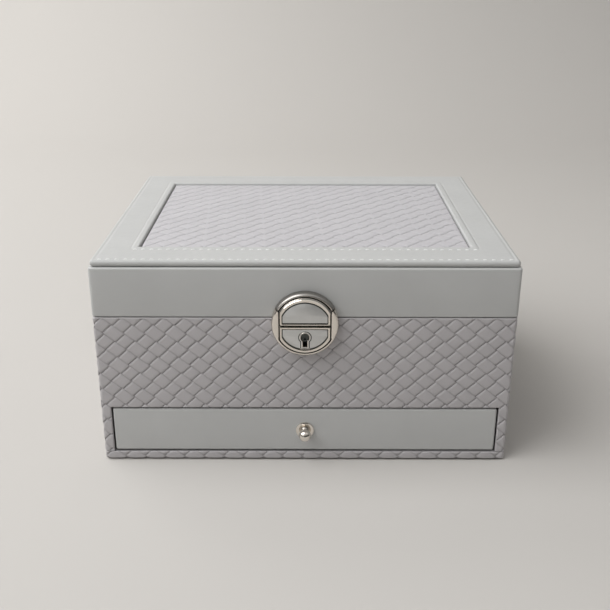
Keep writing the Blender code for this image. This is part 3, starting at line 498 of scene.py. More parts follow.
def make_front_covering():
    """The front from corner to corner, without the drawer's opening, and the opening's turned-in edges."""
    marks = outline_marks(SIDE, BACK, CORNER)
    end = (marks[1] + marks[2]) / 2
    near = INNER_SIDE + OPENING_ROUND
    places = [-end, -near, -INNER_SIDE, INNER_SIDE, near, end]
    steps = (FRONT_STEP, ROLL_STEP, FRONT_STEP, ROLL_STEP, FRONT_STEP)
    runs = [stops(places[index : index + 2], step)[:-1] for index, step in enumerate(steps)]
    along = np.append(np.concatenate(runs), end)
    inset, z, woven = case_section(FRONT_STEP)
    weave, roll = weave_on_case(along[None, :], z), opening_roll(along[None, :], z)
    depth = woven * np.maximum(weave, roll)
    points, faces = carried(along, inset + depth, z, SIDE, BACK, CORNER, ring=False)
    middle_x = np.tile((along[:-1] + along[1:]) / 2, len(z) - 1)
    middle_z = np.repeat((z[:-1, 0] + z[1:, 0]) / 2, len(along) - 1)
    keep = (np.abs(middle_x) > INNER_SIDE) | (middle_z > OPENING_TOP)
    reveal = np.empty((2, 4, 3))
    reveal[..., 0] = (-INNER_SIDE, -INNER_SIDE, INNER_SIDE, INNER_SIDE)
    reveal[..., 2] = (WALL_LOW, OPENING_TOP, OPENING_TOP, WALL_LOW)
    reveal[0, :, 1], reveal[1, :, 1] = FRONT + OPENING_ROUND, FRONT + WALL
    parts = [(points, faces[keep]), (reveal, grid_faces(2, 4)[:, ::-1])]
    # Painted shade: the cloth darkens as it rolls into the opening, and the opening's inner walls take the
    # full darkening, as the drawer's tunnel lies in shade.
    darkest = CROWN + SEAM_DEPTH
    shade = woven * np.maximum(weave, roll / OPENING_ROUND * darkest)
    shade = np.append(shade, np.full(reveal[..., 0].size, darkest))
    nodes = ["case_front_wall"]
    piece("front_covering", parts, woven_look, "case", nodes, False, shade)


def make_side_covering(name, start, step, node):
    """One wall's covering, between the corners' middles, counted in marks along the outline."""
    marks = outline_marks(SIDE, BACK, CORNER)
    corner = (marks[2] - marks[1]) / 2
    along = stops(
        [marks[start] - corner, marks[start], marks[start + 1], marks[start + 1] + corner], step
    )
    inset, z, woven = case_section(HEIGHT_STEP)
    depth = woven * weave_on_case(along[None, :], z)
    part = carried(along, inset + depth, z, SIDE, BACK, CORNER, ring=False)
    piece(name, [part], woven_look, "case", [node], False, depth)


make_front_covering()
make_side_covering("right_covering", 2, SIDE_STEP, "case_right_wall")
make_side_covering("back_covering", 4, BACK_STEP, "case_back_wall")
make_side_covering("left_covering", 6, SIDE_STEP, "case_left_wall")

# --------------------------------------------------------------------------------------------------------
# Boards inside the walls, and the shelf that parts the drawer from the bin: grey fibreboard faced with
# paper. They show inside the drawer's tunnel only.

HIDDEN = 0.1 * MM  # between a board and what covers it
BOARD_EDGE, SHELF_EDGE = 0.2 * MM, 0.4 * MM


def block(low, high, radius, step=1.0, steps=3):
    """A box with rounded edges, as six grids: each point of the box's faces is drawn to `radius` from the
    nearest point of the core, the box that lies `radius` inside."""
    low, high = np.array(low, float), np.array(high, float)
    turn = radius * (1 - np.tan(np.linspace(math.pi / 4, 0, steps + 1)))
    parts = []
    for axis in range(3):
        one, two = (axis + 1) % 3, (axis + 2) % 3
        lines = []
        for other in (one, two):
            ends = stops([low[other] + radius, high[other] - radius], step)
            lines.append(np.concatenate([low[other] + turn, ends[1:-1], high[other] - turn[::-1]]))
        for place in (low[axis], high[axis]):
            grid = np.empty((len(lines[0]), len(lines[1]), 3))
            grid[..., axis] = place
            grid[..., one] = lines[0][:, None]
            grid[..., two] = lines[1][None, :]
            core = np.clip(grid, low + radius, high - radius)
            away = grid - core
            away *= radius / np.linalg.norm(away, axis=-1, keepdims=True)
            parts.append((core + away, grid_faces(len(lines[0]), len(lines[1]))))
    return parts


def paper_board(name, colour):
    """Paper-faced fibreboard: short fibres in the paper, dull."""
    look, tree, shader, where = blank(name, colour, 0.8)
    fibres = noise(tree, where, 700, 6, (1, 0.25, 1))
    tint(tree, shader, fibres, scaled(colour, 0.88), scaled(colour, 1.08))
    bump(tree, shader, fibres, 0.04 * MM)
    return look


board_look = paper_board("paper_board", BOARD_COLOUR)


def make_wall_boards():
    """Four boards inside the coverings, a little short of the rim; the front one stops above the
    opening."""
    out_x, out_y = SIDE - CLOTH - HIDDEN, BACK - CLOTH - HIDDEN
    inner_y = BACK - WALL
    top = RIM - CLOTH
    corners = {
        "left_board": ((-out_x, -out_y, WALL_LOW), (-INNER_SIDE, out_y, top)),
        "right_board": ((INNER_SIDE, -out_y, WALL_LOW), (out_x, out_y, top)),
        "back_board": ((-INNER_SIDE, inner_y, WALL_LOW), (INNER_SIDE, out_y, top)),
        "front_board": ((-INNER_SIDE, -out_y, OPENING_TOP + HIDDEN), (INNER_SIDE, -inner_y, top)),
    }
    for name, (low, high) in corners.items():
        piece(name, block(low, high, BOARD_EDGE), board_look, "case")


def make_shelf():
    low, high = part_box("shelf_board")
    piece("shelf", block(low, high, SHELF_EDGE), board_look, "case", ["shelf_board"])


make_wall_boards()
make_shelf()

# --------------------------------------------------------------------------------------------------------
# Case lining. Short-pile velvet glued inside the walls and on the shelf, and wrapped round the card divider
# and the two ledges that carry the tray.

VELVET_COLOUR = (0.44, 0.43, 0.44)
LINING = 0.25 * MM
LINING_STEP = 20 * MM
LINING_DROP = 1.2 * MM  # from a wall's edge to its lining
LINING_EDGE, DIVIDER_EDGE, LEDGE_EDGE = 0.3 * MM, 1.2 * MM, 1.0 * MM


def velvet(name, colour):
    """Short pile: soft sheen at the edges, brushed patches, and a fine nap."""
    look, tree, shader, where = blank(name, colour, 0.9)
    shader.inputs["Sheen Weight"].default_value = 0.7
    shader.inputs["Sheen Roughness"].default_value = 0.35
    shader.inputs["Sheen Tint"].default_value = (0.9, 0.9, 0.92, 1)
    tint(tree, shader, noise(tree, where, 60, 5, (1, 0.5, 1)), scaled(colour, 0.82), scaled(colour, 1.12))
    bump(tree, shader, noise(tree, where, 3500, 2), 0.12 * MM, 0.8)
    bump(tree, shader, noise(tree, where, 120, 3), 0.25 * MM, 0.4)
    return look


velvet_look = velvet("grey_velvet", VELVET_COLOUR)


def lining_band(name, body, low, high):
    """A thin velvet ring just inside the walls, between two heights."""
    inset = column([WALL, WALL + LINING, WALL + LINING, WALL, WALL])
    z = column([low, low, high, high, low])
    along = all_round(SIDE, BACK, CORNER, LINING_STEP)
    piece(name, [carried(along, inset, z, SIDE, BACK, CORNER)], velvet_look, body)


def velvet_block(node, body, radius, name=None):
    """A velvet-covered board in the place of a CAD node."""
    low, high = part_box(node)
    name = name or f"{node}_velvet"
    return piece(name, block(low, high, radius), velvet_look, body, [node])


lining_band("wall_lining", "case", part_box("shelf_board")[1][2], RIM - LINING_DROP)
velvet_block("floor_lining", "case", LINING_EDGE)
velvet_block("bin_divider", "case", DIVIDER_EDGE)
velvet_block("tray_ledge_left", "case", LEDGE_EDGE)
velvet_block("tray_ledge_right", "case", LEDGE_EDGE)

# --------------------------------------------------------------------------------------------------------
# Drawer. A box of leathercloth-covered boards lined with velvet, with a plain face whose edges are turned
# over, and a crossed pair of velvet dividers.

PLAIN_COLOUR = (0.50, 0.505, 0.50)
FACE_EDGE, FACE_STEP, FACE_TURN = 1.3 * MM, 12 * MM, 5
DRAWER_EDGE = 0.8 * MM
BOTTOM_EDGE = 0.3 * MM

plain_look = leathercloth("plain_leathercloth", PLAIN_COLOUR)


def plain_block(name, node, body, shape):
    """A plain leathercloth piece in the place of a CAD node."""
    piece(name, shape, plain_look, body, [node])


def make_drawer():
    face = block(*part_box("drawer_front"), FACE_EDGE, FACE_STEP, FACE_TURN)
    plain_block("drawer_face", "drawer_front", "drawer", face)
    for node in ("drawer_left", "drawer_right", "drawer_back"):
        plain_block(f"{node}_side", node, "drawer", block(*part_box(node), DRAWER_EDGE))
    bottom = block(*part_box("drawer_bottom"), BOTTOM_EDGE)
    piece("drawer_base", bottom, board_look, "drawer", ["drawer_bottom"])
    velvet_block("drawer_lining", "drawer", LINING_EDGE)
    velvet_block("drawer_divider", "drawer", DIVIDER_EDGE)
    velvet_block("drawer_cross_divider", "drawer", DIVIDER_EDGE)


make_drawer()

# --------------------------------------------------------------------------------------------------------
# Knob. A polished nickel ball on a short neck over a dished rosette, held by a screw from inside the face.

NICKEL_COLOUR = (0.76, 0.71, 0.645)
STEEL_COLOUR = (0.62, 0.61, 0.59)
BALL_TURN = 2.7  # how far round from its front, in radians, the ball meets its neck
# The neck and its foot, as radii and distances from the rosette.
NECK = [(1.35 * MM, 1.0 * MM), (1.5 * MM, 0.7 * MM), (2.2 * MM, 0.45 * MM)]
NECK += [(2.4 * MM, 0.2 * MM), (2.3 * MM, 0)]
DISH_INNER, DISH_OVER = 2.6 * MM, 0.1 * MM
DISH_SHARE, RIM_SHARE = 0.75, 0.5  # heights of the dish's middle and of its rim's edge, as shares
HEAD = 0.9 * MM
SLOT_HALF, SLOT_FLOOR, DOME = 0.16, 0.35, 0.35  # shares of a screw head's radius and height
KNOB_SHANK, SMALL_SHANK = 1 * MM, 0.85 * MM


def metal(name, colour, low, high, grain=None):
    """Plated metal whose gloss varies faintly, with a brushed grain if asked."""
    look, tree, shader, where = blank(name, colour, low, 1.0)
    tree.links.new(spread(tree, noise(tree, where, 250, 4), low, high), shader.inputs["Roughness"])
    tint(tree, shader, noise(tree, where, 90), scaled(colour, 0.97), scaled(colour, 1.03))
    if grain:
        bump(tree, shader, noise(tree, where, 2500, 3, grain), 0.01 * MM, 0.5)
    return look


nickel_look = metal("polished_nickel", NICKEL_COLOUR, 0.10, 0.18)
steel_look = metal("plated_steel", STEEL_COLOUR, 0.28, 0.42, (1, 1, 0.2))


def turned(profile, x, y, z, steps=48):
    """A profile of (radius, distance out) turned about an axis along -Y through a point."""
    radius, out = np.array(profile, float).T
    angle = np.linspace(0, 2 * math.pi, steps, endpoint=False)
    points = np.empty((len(radius), steps, 3))
    points[..., 0] = x + radius[:, None] * np.cos(angle)
    points[..., 1] = y - out[:, None]
    points[..., 2] = z + radius[:, None] * np.sin(angle)
    return points, grid_faces(len(radius), steps, True)


def slotted_screw(node, slot_angle, shank):
    """A slotted screw in the place of a CAD node. Its head is made of straight strips across a disc: the
    strips beside the slot's walls lie close together, the dome falls with the square of the distance, and
    the strips inside the slot lie deeper. The shank runs to the node's far end."""
    low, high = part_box(node)
    radius, seat = (high[0] - low[0]) / 2, high[1] - HEAD
    x, z = (low[0] + high[0]) / 2, (low[2] + high[2]) / 2
    side = np.cos(np.linspace(0, 1.4, 9))
    slot = 0.9 * SLOT_HALF
    across = np.unique(np.round([*-side, -SLOT_HALF, -slot, slot, SLOT_HALF, *side], 6))
    a = np.broadcast_to(across[:, None], (len(across), 9))
    b = np.linspace(-1, 1, 9) * np.sqrt(np.maximum(1 - a**2, 0))
    out = HEAD - DOME * HEAD * (a**2 + b**2)
    out = np.where(np.abs(a) < 0.95 * SLOT_HALF, HEAD * SLOT_FLOOR, out)
    a, b = (np.pad(part, ((0, 0), (1, 1)), "edge") for part in (a, b))
    out = np.pad(out, ((0, 0), (1, 1)))
    turn_x = a * math.cos(slot_angle) - b * math.sin(slot_angle)
    turn_z = a * math.sin(slot_angle) + b * math.cos(slot_angle)
    points = np.stack([x + radius * turn_x, seat + out, z + radius * turn_z], axis=-1)
    length = seat - low[1]
    rod = turned([(radius, 0), (shank, 0), (shank, length), (0, length)], x, seat, z, 24)
    return [(points, grid_faces(*out.shape)), rod]


def make_knob():
    low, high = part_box("knob")
    x, z = (low[0] + high[0]) / 2, (low[2] + high[2]) / 2
    ball = (high[2] - low[2]) / 2
    base_low, base_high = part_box("knob_rosette")
    face = base_high[1]
    reach, foot = face - low[1], face - high[1]
    angle = np.linspace(0, BALL_TURN, 25)
    profile = [(ball * math.sin(t), reach - ball + ball * math.cos(t)) for t in angle]
    profile += [(radius, foot + out) for radius, out in NECK]
    profile.append((0, foot))
    piece("knob_ball", [turned(profile, x, face, z, 64)], nickel_look, "drawer", ["knob"])
    wide, tall = (base_high[0] - base_low[0]) / 2, face - base_low[1]
    dish = [(0, DISH_SHARE * tall), (DISH_INNER, DISH_SHARE * tall)]
    for share in np.linspace(0, 1, 9):
        rise = DISH_SHARE + (1 - DISH_SHARE) * math.sin(math.pi * share)
        dish.append((DISH_INNER + (wide - DISH_INNER) * share, tall * rise))
    dish += [(wide + DISH_OVER, RIM_SHARE * tall), (wide, 0), (0, 0)]
    parts = [turned(dish, x, face, z, 64)]
    piece("rosette", parts, nickel_look, "drawer", ["knob_rosette"])
    screw = slotted_screw("knob_screw", 0.6, KNOB_SHANK)
    piece("knob_screw_slotted", screw, steel_look, "drawer", ["knob_screw"])


make_knob()

# --------------------------------------------------------------------------------------------------------
# Tray. A velvet-covered card tray that lifts out, with dividers and a row of foam ring rolls on its left.

TRAY_ROUND, TRAY_FOOT, TRAY_COVE = 1.4 * MM, 0.6 * MM, 0.8 * MM
TRAY_STEP = 10 * MM
TRAY_DIVIDER_EDGE = 1.3 * MM
ROLLS, ROLL_GAP, ROLL_LENGTH_STEP = 7, 0.35 * MM, 3 * MM
ROLL_BASE, ROLL_BASE_EDGE, ROLL_SINK = 2.5 * MM, 0.6 * MM, 0.4 * MM


def make_tray():
    """Section: under the tray, up its outside, over the wall's round top, down inside, and across its
    floor."""
    low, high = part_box("tray_shell")
    wall = high[0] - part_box("tray_divider")[1][0]
    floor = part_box("ring_pad")[0][2] - 0.2 * MM
    turn_x, turn_z = turned_edge(180, 0, TRAY_ROUND, 8)
    shoulder = high[2] - TRAY_ROUND
    inset = [high[1], TRAY_FOOT, 0, 0, *(TRAY_ROUND + turn_x), wall, wall, wall + TRAY_COVE, high[1]]
    z = [low[2], low[2], low[2] + TRAY_FOOT, shoulder, *(shoulder + turn_z), shoulder, floor + TRAY_COVE]
    z += [floor, floor]
    along = all_round(high[0], high[1], TRAY_ROUND, TRAY_STEP)
    parts = [carried(along, column(inset), column(z), high[0], high[1], TRAY_ROUND)]
    piece("tray_shell_velvet", parts, velvet_look, "tray", ["tray_shell"])
    velvet_block("tray_divider", "tray", TRAY_DIVIDER_EDGE)
    velvet_block("tray_cross_divider", "tray", TRAY_DIVIDER_EDGE)


def make_ring_rolls():
    """Round foam rolls side by side on one thin base. Each is a little fuller between its ends, and waves
    faintly."""
    low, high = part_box("ring_pad")
    pitch = (high[1] - low[1]) / ROLLS
    radius = pitch / 2 - ROLL_GAP
    parts = block(low, (high[0], high[1], low[2] + ROLL_BASE), ROLL_BASE_EDGE)
    for index in range(ROLLS):
        middle = low[1] + pitch * (index + 0.5)
        near = (low[0] + ROLL_BASE_EDGE, middle - radius, low[2] + ROLL_SINK)
        far = (high[0] - ROLL_BASE_EDGE, middle + radius, high[2])
        for points, faces in block(near, far, radius * 0.98, ROLL_LENGTH_STEP, 8):
            share = np.clip((points[..., 0] - low[0]) / (high[0] - low[0]), 0, 1)
            fuller = 1 - 0.05 * np.abs(2 * share - 1) ** 3 + 0.008 * np.sin(share * 47 + index)
            points[..., 1] = middle + (points[..., 1] - middle) * fuller
            points[..., 2] = low[2] + (points[..., 2] - low[2]) * fuller
            parts.append((points, faces))
    pad = piece("ring_rolls", parts, velvet_look, "tray", ["ring_pad"])


make_tray()
make_ring_rolls()

# --------------------------------------------------------------------------------------------------------
# Lid band. Four boards wrapped in plain leathercloth as one band with rounded corners, lined with velvet.

BAND_TOP_ROUND, BAND_FOOT_ROUND, BAND_INNER = 1.1 * MM, 0.8 * MM, 0.5 * MM
BAND_STEP = 4 * MM


def make_lid_band():
    low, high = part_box("lid_right_wall")[0][2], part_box("lid_right_wall")[1][2]
    top_x, top_z = turned_edge(180, 90, BAND_TOP_ROUND, 6)
    foot_x, foot_z = turned_edge(270, 180, BAND_FOOT_ROUND)
    inset = [*(BAND_FOOT_ROUND + foot_x), *(BAND_TOP_ROUND + top_x), WALL, WALL, WALL - BAND_INNER]
    z = [*(low + BAND_FOOT_ROUND + foot_z), *(high - BAND_TOP_ROUND + top_z), high, low + BAND_INNER, low]
    inset, z = column([*inset, inset[0]]), column([*z, z[0]])
    along = all_round(SIDE, BACK, CORNER, BAND_STEP)
    parts = [carried(along, inset, z, SIDE, BACK, CORNER)]
    walls = [f"lid_{side}_wall" for side in ("front", "back", "left", "right")]
    piece("lid_band", parts, plain_look, "lid", walls)
    lining_band("lid_wall_lining", "lid", low + LINING_DROP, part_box("lid_lining")[0][2])


def make_lid_boards():
    low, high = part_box("lid_top_board")
    piece("lid_board", block(low, high, BOTTOM_EDGE), board_look, "lid", ["lid_top_board"])
    velvet_block("lid_lining", "lid", LINING_EDGE)


make_lid_band()
make_lid_boards()

# --------------------------------------------------------------------------------------------------------
# Lid cover. A flat frame of plain leathercloth with rolled edges. A lip is sewn beside the window on the
# left and right, and light stitches run along the front outer edge and in front of the window.

COVER_ROUND = 1.9 * MM
LIP = 3.8 * MM
LIP_RISE, LIP_ROUND, LIP_END = 0.35 * MM, 1.1 * MM, 1.2 * MM
LIP_STEP = 0.22 * MM  # how softly the lip ends
FURROW, FURROW_HALF = 0.22 * MM, 0.8 * MM
LIP_FURROW, LIP_FURROW_HALF, LIP_FURROW_OUT = 0.16 * MM, 0.4 * MM, 0.5 * MM
COVER_STEP, COVER_LONG_STEP = 0.45 * MM, 2.2 * MM
COVER_FOOT, COVER_FOOT_IN, COVER_FOOT_RISE = 1.0 * MM, 0.2 * MM, 0.8 * MM
COVER_EDGE = 1.5 * MM  # above this the cover's furrows show
OUTER_ROW = 2.75 * MM  # stitches inside the cover's edge
INNER_ROW = 4.1 * MM  # stitches outside the window
STITCH_PITCH, STITCH, THREAD = 4.8 * MM, 2.9 * MM, 0.42 * MM
STITCH_RISE, STITCH_DIP = 0.08 * MM, 0.35 * MM
THREAD_COLOUR = (0.80, 0.81, 0.80)
WINDOW_GAP = 0.3 * MM

cover_low, cover_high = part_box("lid_window_frame")
panel_low, panel_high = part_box("woven_panel")
COVER_SIDE, COVER_BACK, COVER_TOP = cover_high[0], cover_high[1], cover_high[2]
WINDOW_SIDE, WINDOW_BACK = panel_high[0] + WINDOW_GAP, panel_high[1] + WINDOW_GAP


def furrow(distance, depth=FURROW, half=FURROW_HALF):
    """A bell-shaped furrow along a line, by the distance from it."""
    return depth * np.exp(-((distance / half) ** 2))


def cover_depth(x, y):
    """How far the cover's top lies below its highest: furrows under the stitches, and the step outside the
    lips."""
    edge = np.minimum(COVER_SIDE - np.abs(x), COVER_BACK - np.abs(y))
    ahead = (np.abs(x) < WINDOW_SIDE + INNER_ROW) & (y < 0)
    depth = furrow(edge - OUTER_ROW) + ahead * furrow(y + WINDOW_BACK + INNER_ROW)
    beside = np.abs(x) - WINDOW_SIDE
    along_lip = np.clip((WINDOW_BACK + LIP - np.abs(y)) / LIP_END, 0, 1)
    step = LIP_RISE / (1 + np.exp(-(beside - LIP) / LIP_STEP))
    depth += along_lip * (step + furrow(beside - LIP - LIP_FURROW_OUT, LIP_FURROW, LIP_FURROW_HALF))
    return depth + (1 - along_lip) * LIP_RISE * 0.6


def make_cover():
    """Section: from under the window's edge out to the rolled outer edge, over the top, and down the
    lip."""
    width, low = COVER_SIDE - WINDOW_SIDE, cover_low[2]
    round_x, round_z = turned_edge(180, 90, COVER_ROUND, 8)
    lip_x, lip_z = turned_edge(90, 0, LIP_ROUND, 6)
    flat = stops([COVER_ROUND, width - LIP_ROUND], COVER_STEP)[1:-1]
    inset = [width, COVER_FOOT, COVER_FOOT_IN, *(COVER_ROUND + round_x), *flat]
    inset += [*(width - LIP_ROUND + lip_x), width]
    z = [low, low, low + COVER_FOOT_RISE, *(COVER_TOP - COVER_ROUND + round_z), *(0 * flat + COVER_TOP)]
    z += [*(COVER_TOP - LIP_ROUND + lip_z), low]
    along = all_round(COVER_SIDE, COVER_BACK, CORNER, COVER_LONG_STEP)
    inset, z = column(inset), column(z)
    x, y = outline(along[None, :], inset, COVER_SIDE, COVER_BACK, CORNER)
    z = z - (z > low + COVER_EDGE) * cover_depth(x, y)
    parts = [carried(along, inset + 0 * x, z, COVER_SIDE, COVER_BACK, CORNER)]
    piece("lid_cover", parts, plain_look, "lid", ["lid_window_frame"])


def stitch_row(start, end):
    """Even stitches along a line on the cover's top: each is a thread of round section that dips at both
    ends."""
    start, end = np.array(start), np.array(end)
    length = np.linalg.norm(end - start)
    count = round(length / STITCH_PITCH)
    middles = start + (end - start) * ((np.arange(count) + 0.5) / count)[:, None]
    ahead = (end - start) / length
    beside = np.array([-ahead[1], ahead[0]])
    share = np.linspace(-1, 1, 6)
    angle = np.linspace(0, 2 * math.pi, 7, endpoint=False)
    radius = THREAD * np.sqrt(np.maximum(1 - share**4, 0.02))[:, None]
    forward = (STITCH / 2 * share)[:, None] + 0 * angle
    sideways = radius * np.cos(angle)
    rise = radius * np.sin(angle) * 0.8 - STITCH_DIP * share[:, None] ** 4
    flat = middles[:, None, None, :] + forward[..., None] * ahead + sideways[..., None] * beside
    surface = COVER_TOP - cover_depth(*middles.T)[:, None, None]
    points = np.concatenate([flat, (surface + rise + STITCH_RISE)[..., None]], axis=-1)
    one = grid_faces(len(share), len(angle), True)
    faces = (one[None] + (np.arange(count) * len(share) * len(angle))[:, None, None]).reshape(-1, 4)
    return points.reshape(-1, 3), faces


def make_stitches():
    look, tree, shader, where = blank("white_thread", THREAD_COLOUR, 0.6)
    twist = noise(tree, where, 1500, 3)
    tint(tree, shader, twist, (0.66, 0.67, 0.66), (0.88, 0.88, 0.87))
    bump(tree, shader, twist, 0.1 * MM)
    side, back = COVER_SIDE - OUTER_ROW, COVER_BACK - OUTER_ROW
    inner_side, inner_front = WINDOW_SIDE + INNER_ROW, -WINDOW_BACK - INNER_ROW
    rows = [((-side, -back), (side, -back)), ((-inner_side, inner_front), (inner_side, inner_front))]
    piece("lid_stitches", [stitch_row(*row) for row in rows], look, "lid")


make_cover()
make_stitches()

# --------------------------------------------------------------------------------------------------------
# Lid panel. Foam under woven leathercloth, set into the cover's window: its edges roll down into the
# crease, and it is a little crowned.

PANEL_ROW = 10.6 * MM
PANEL_ROLL = 1.6 * MM
PANEL_CROWN = 0.9 * MM
PANEL_COLOUR = (0.51, 0.50, 0.52)
# How dark the panel's colour is at a furrow's bottom: partly the seams' darker print, partly painted shade.
PANEL_PRINT_AND_SHADE = 0.72
PANEL_RELIEF = 0.8  # share of the case's weave depth
PANEL_STEP, PANEL_SINK = 0.45 * MM, 0.3 * MM
PANEL_START = (61 * MM, 30 * MM)  # where in the weave's pattern the panel's middle lies
panel_look = woven_cloth("panel_leathercloth", PANEL_COLOUR, PANEL_PRINT_AND_SHADE)


def make_panel():
    """The top is a grid over the window. Its height falls along a quarter circle by the nearest edge and
    swells towards the middle; the weave lies in it. A skirt runs down to the board."""
    half_x, half_y = panel_high[0], panel_high[1]
    lines = []
    for half in (half_x, half_y):
        turn = half - PANEL_ROLL * (1 - np.sin(np.linspace(0, math.pi / 2, 7)))
        inner = stops([0, half - PANEL_ROLL], PANEL_STEP)
        lines.append(np.concatenate([-turn[::-1], -inner[::-1][1:], inner[1:], turn[1:]]))
    x, y = (lines[0][None, :], lines[1][:, None])
    edge = np.minimum(half_x - np.abs(x), half_y - np.abs(y))
    rest = np.clip(PANEL_ROLL - edge, 0, PANEL_ROLL)
    fall = PANEL_ROLL - np.sqrt(PANEL_ROLL**2 - rest**2)
    swell = PANEL_CROWN * (1 - (x / half_x) ** 4) * (1 - (y / half_y) ** 4)
    top = panel_high[2] - PANEL_SINK + swell - fall
    depth = weave_depth(x + PANEL_START[0], y + PANEL_START[1], PANEL_ROW)
    depth = depth * np.clip(edge / PANEL_ROLL, 0, 1)
    z = top - PANEL_RELIEF * depth
    points = np.stack([x + 0 * z, y + 0 * z, z], axis=-1)
    rim = np.concatenate([points[0], points[1:-1, -1], points[-1, ::-1], points[-2:0:-1, 0]])
    skirt = np.stack([rim, rim * (1, 1, 0) + (0, 0, panel_low[2])])
    parts = [(points, grid_faces(len(lines[1]), len(lines[0])))]
    parts.append((skirt, grid_faces(2, len(rim), True)[:, ::-1]))
    panel = piece("lid_panel", parts, panel_look, "lid", ["woven_panel"], False, depth)


make_panel()

# --------------------------------------------------------------------------------------------------------
# Mirror. Silvered glass in the lid, in a flat frame of plain leathercloth with rounded edges.

SURROUND_ROUND, SURROUND_GAP, SURROUND_CORNER = 0.9 * MM, 0.3 * MM, 1 * MM
SURROUND_STEP = 10 * MM
GLASS_EDGE = 0.4 * MM


def make_mirror():
    low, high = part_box("mirror_frame")
    glass_low, glass_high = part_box("mirror")
    width = high[0] - glass_high[0] - SURROUND_GAP
    turn_x, turn_z = turned_edge(180, 270, SURROUND_ROUND, 5)
    face = low[2] + SURROUND_ROUND
    inset = [0, *(SURROUND_ROUND + turn_x), *(width - SURROUND_ROUND - turn_x[::-1]), width, 0]
    z = [high[2], *(face + turn_z), *(face + turn_z[::-1]), high[2], high[2]]
    along = all_round(high[0], high[1], SURROUND_CORNER, SURROUND_STEP)
    parts = [carried(along, column(inset), column(z), high[0], high[1], SURROUND_CORNER)]
    piece("mirror_surround", parts, plain_look, "lid", ["mirror_frame"])
    look, tree, shader, where = blank("silvered_glass", (0.88, 0.90, 0.90), 0.02, 1.0)
    tree.links.new(spread(tree, noise(tree, where, 25), 0.01, 0.03), shader.inputs["Roughness"])
    tint(tree, shader, noise(tree, where, 12), (0.87, 0.89, 0.89), (0.90, 0.92, 0.92))
    parts = block(glass_low, glass_high, GLASS_EDGE)
    piece("mirror_plate", parts, look, "lid", ["mirror"])


make_mirror()

# --------------------------------------------------------------------------------------------------------
# Hinges. Two pressed steel butt hinges on the back, each with a pin through three knuckles, and slotted
# screws.

LEAF, LEAF_EDGE, PIN_EDGE = 1 * MM, 0.25 * MM, 0.2 * MM
LEAF_GAP = 0.3 * MM  # between knuckles, and between the barrel and each leaf's flat part
WEB_SINK, WEB_EDGE, WEB_LOW, WEB_OVER = 0.05 * MM, 0.1 * MM, 0.8 * MM, 0.5 * MM


def cylinder(start, end, y, z, radius, edge, steps=32):
    """A rod along X with rounded ends."""
    profile_x = [start, start, start + edge, end - edge, end, end]
    profile_r = [0, radius - edge, radius, radius, radius - edge, 0]
    angle = np.linspace(0, 2 * math.pi, steps, endpoint=False)
    points = np.empty((6, steps, 3))
    points[..., 0] = column(profile_x)
    points[..., 1] = y + column(profile_r) * np.cos(angle)
    points[..., 2] = z + column(profile_r) * np.sin(angle)
    return points, grid_faces(6, steps, True)


def pin_line(node):
    """The Y and Z of a pin's middle line, its radius, and its two ends."""
    low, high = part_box(node)
    return (low[1] + high[1]) / 2, (low[2] + high[2]) / 2, (high[2] - low[2]) / 2, (low[0], high[0])


def make_leaf(side, leaf):
    """A flat leaf, its knuckles round the pin, and a web from each knuckle to the flat part."""
    node = f"hinge_{side}_{leaf}_leaf"
    low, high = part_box(node)
    pin_y, pin_z, _, _ = pin_line(f"hinge_{side}_pin")
    radius = high[1] - pin_y
    up = 1 if leaf == "lid" else -1
    edge = pin_z + up * (radius + LEAF_GAP)
    ends = sorted((edge, high[2] if up > 0 else low[2]))
    parts = block((low[0], low[1], ends[0]), (high[0], low[1] + LEAF, ends[1]), LEAF_EDGE)
    third = (high[0] - low[0]) / 3
    spans = [(low[0], low[0] + third - LEAF_GAP), (high[0] - third + LEAF_GAP, high[0])]
    if leaf == "lid":
        spans = [(low[0] + third, high[0] - third)]
    web = sorted((pin_z + up * WEB_LOW, edge + up * WEB_OVER))
    for start, end in spans:
        parts.append(cylinder(start, end, pin_y, pin_z, radius, LEAF_EDGE))
        near, far = (start, low[1] + WEB_SINK, web[0]), (end, low[1] + LEAF - WEB_SINK, web[1])
        parts += block(near, far, WEB_EDGE)
    piece(f"hinge_{leaf}_leaf_{side}", parts, steel_look, leaf, [node])


def make_hinges():
    """The leaves are on the bodies that they're named after."""
    for side in ("left", "right"):
        node = f"hinge_{side}_pin"
        pin_y, pin_z, radius, ends = pin_line(node)
        parts = [cylinder(*ends, pin_y, pin_z, radius, PIN_EDGE)]
        piece(f"hinge_pin_{side}", parts, steel_look, "case", [node])
        for leaf in ("case", "lid"):
            make_leaf(side, leaf)
            for label in ("a", "b"):
                node = f"hinge_screw_{side}_{leaf}_{label}"
                low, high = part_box(node)
                slot_angle = (low[0] + high[0]) / 2 * 900 + (low[2] + high[2]) / 2 * 300
                parts = slotted_screw(node, slot_angle, SMALL_SHANK)
                piece(f"{node}_slotted", parts, steel_look, leaf, [node])


make_hinges()

# --------------------------------------------------------------------------------------------------------
# Lock. A round nickel lock in two halves. The plate on the case has two ears and a bevelled rim round a
# pocket with the key face; the cap on the lid completes the ring, and the hasp's flap hangs under it on a
# pin. Rims and borders are polished and the recessed fields satin. The cap's bevel has a darker nickel
# colour as a painted dark reflection, and the grooves and hollows are dark with painted shade.

SATIN_COLOUR = (0.66, 0.66, 0.65)
# The cap's bevel gets a darker nickel colour: a painted dark reflection.
PAINTED_REFLECTION_COLOUR = (0.36, 0.345, 0.325)
# A dark finish for the key plug, which also paints shade into the lock's grooves and hollows.
DARK_COLOUR = (0.10, 0.105, 0.10)
satin_look = metal("satin_nickel", SATIN_COLOUR, 0.45, 0.58, (1, 1, 0.15))
painted_reflection_look = metal("nickel_painted_reflection", PAINTED_REFLECTION_COLOUR, 0.30, 0.40)
dark_and_shade_look = metal("dark_steel_and_painted_shade", DARK_COLOUR, 0.35, 0.5)

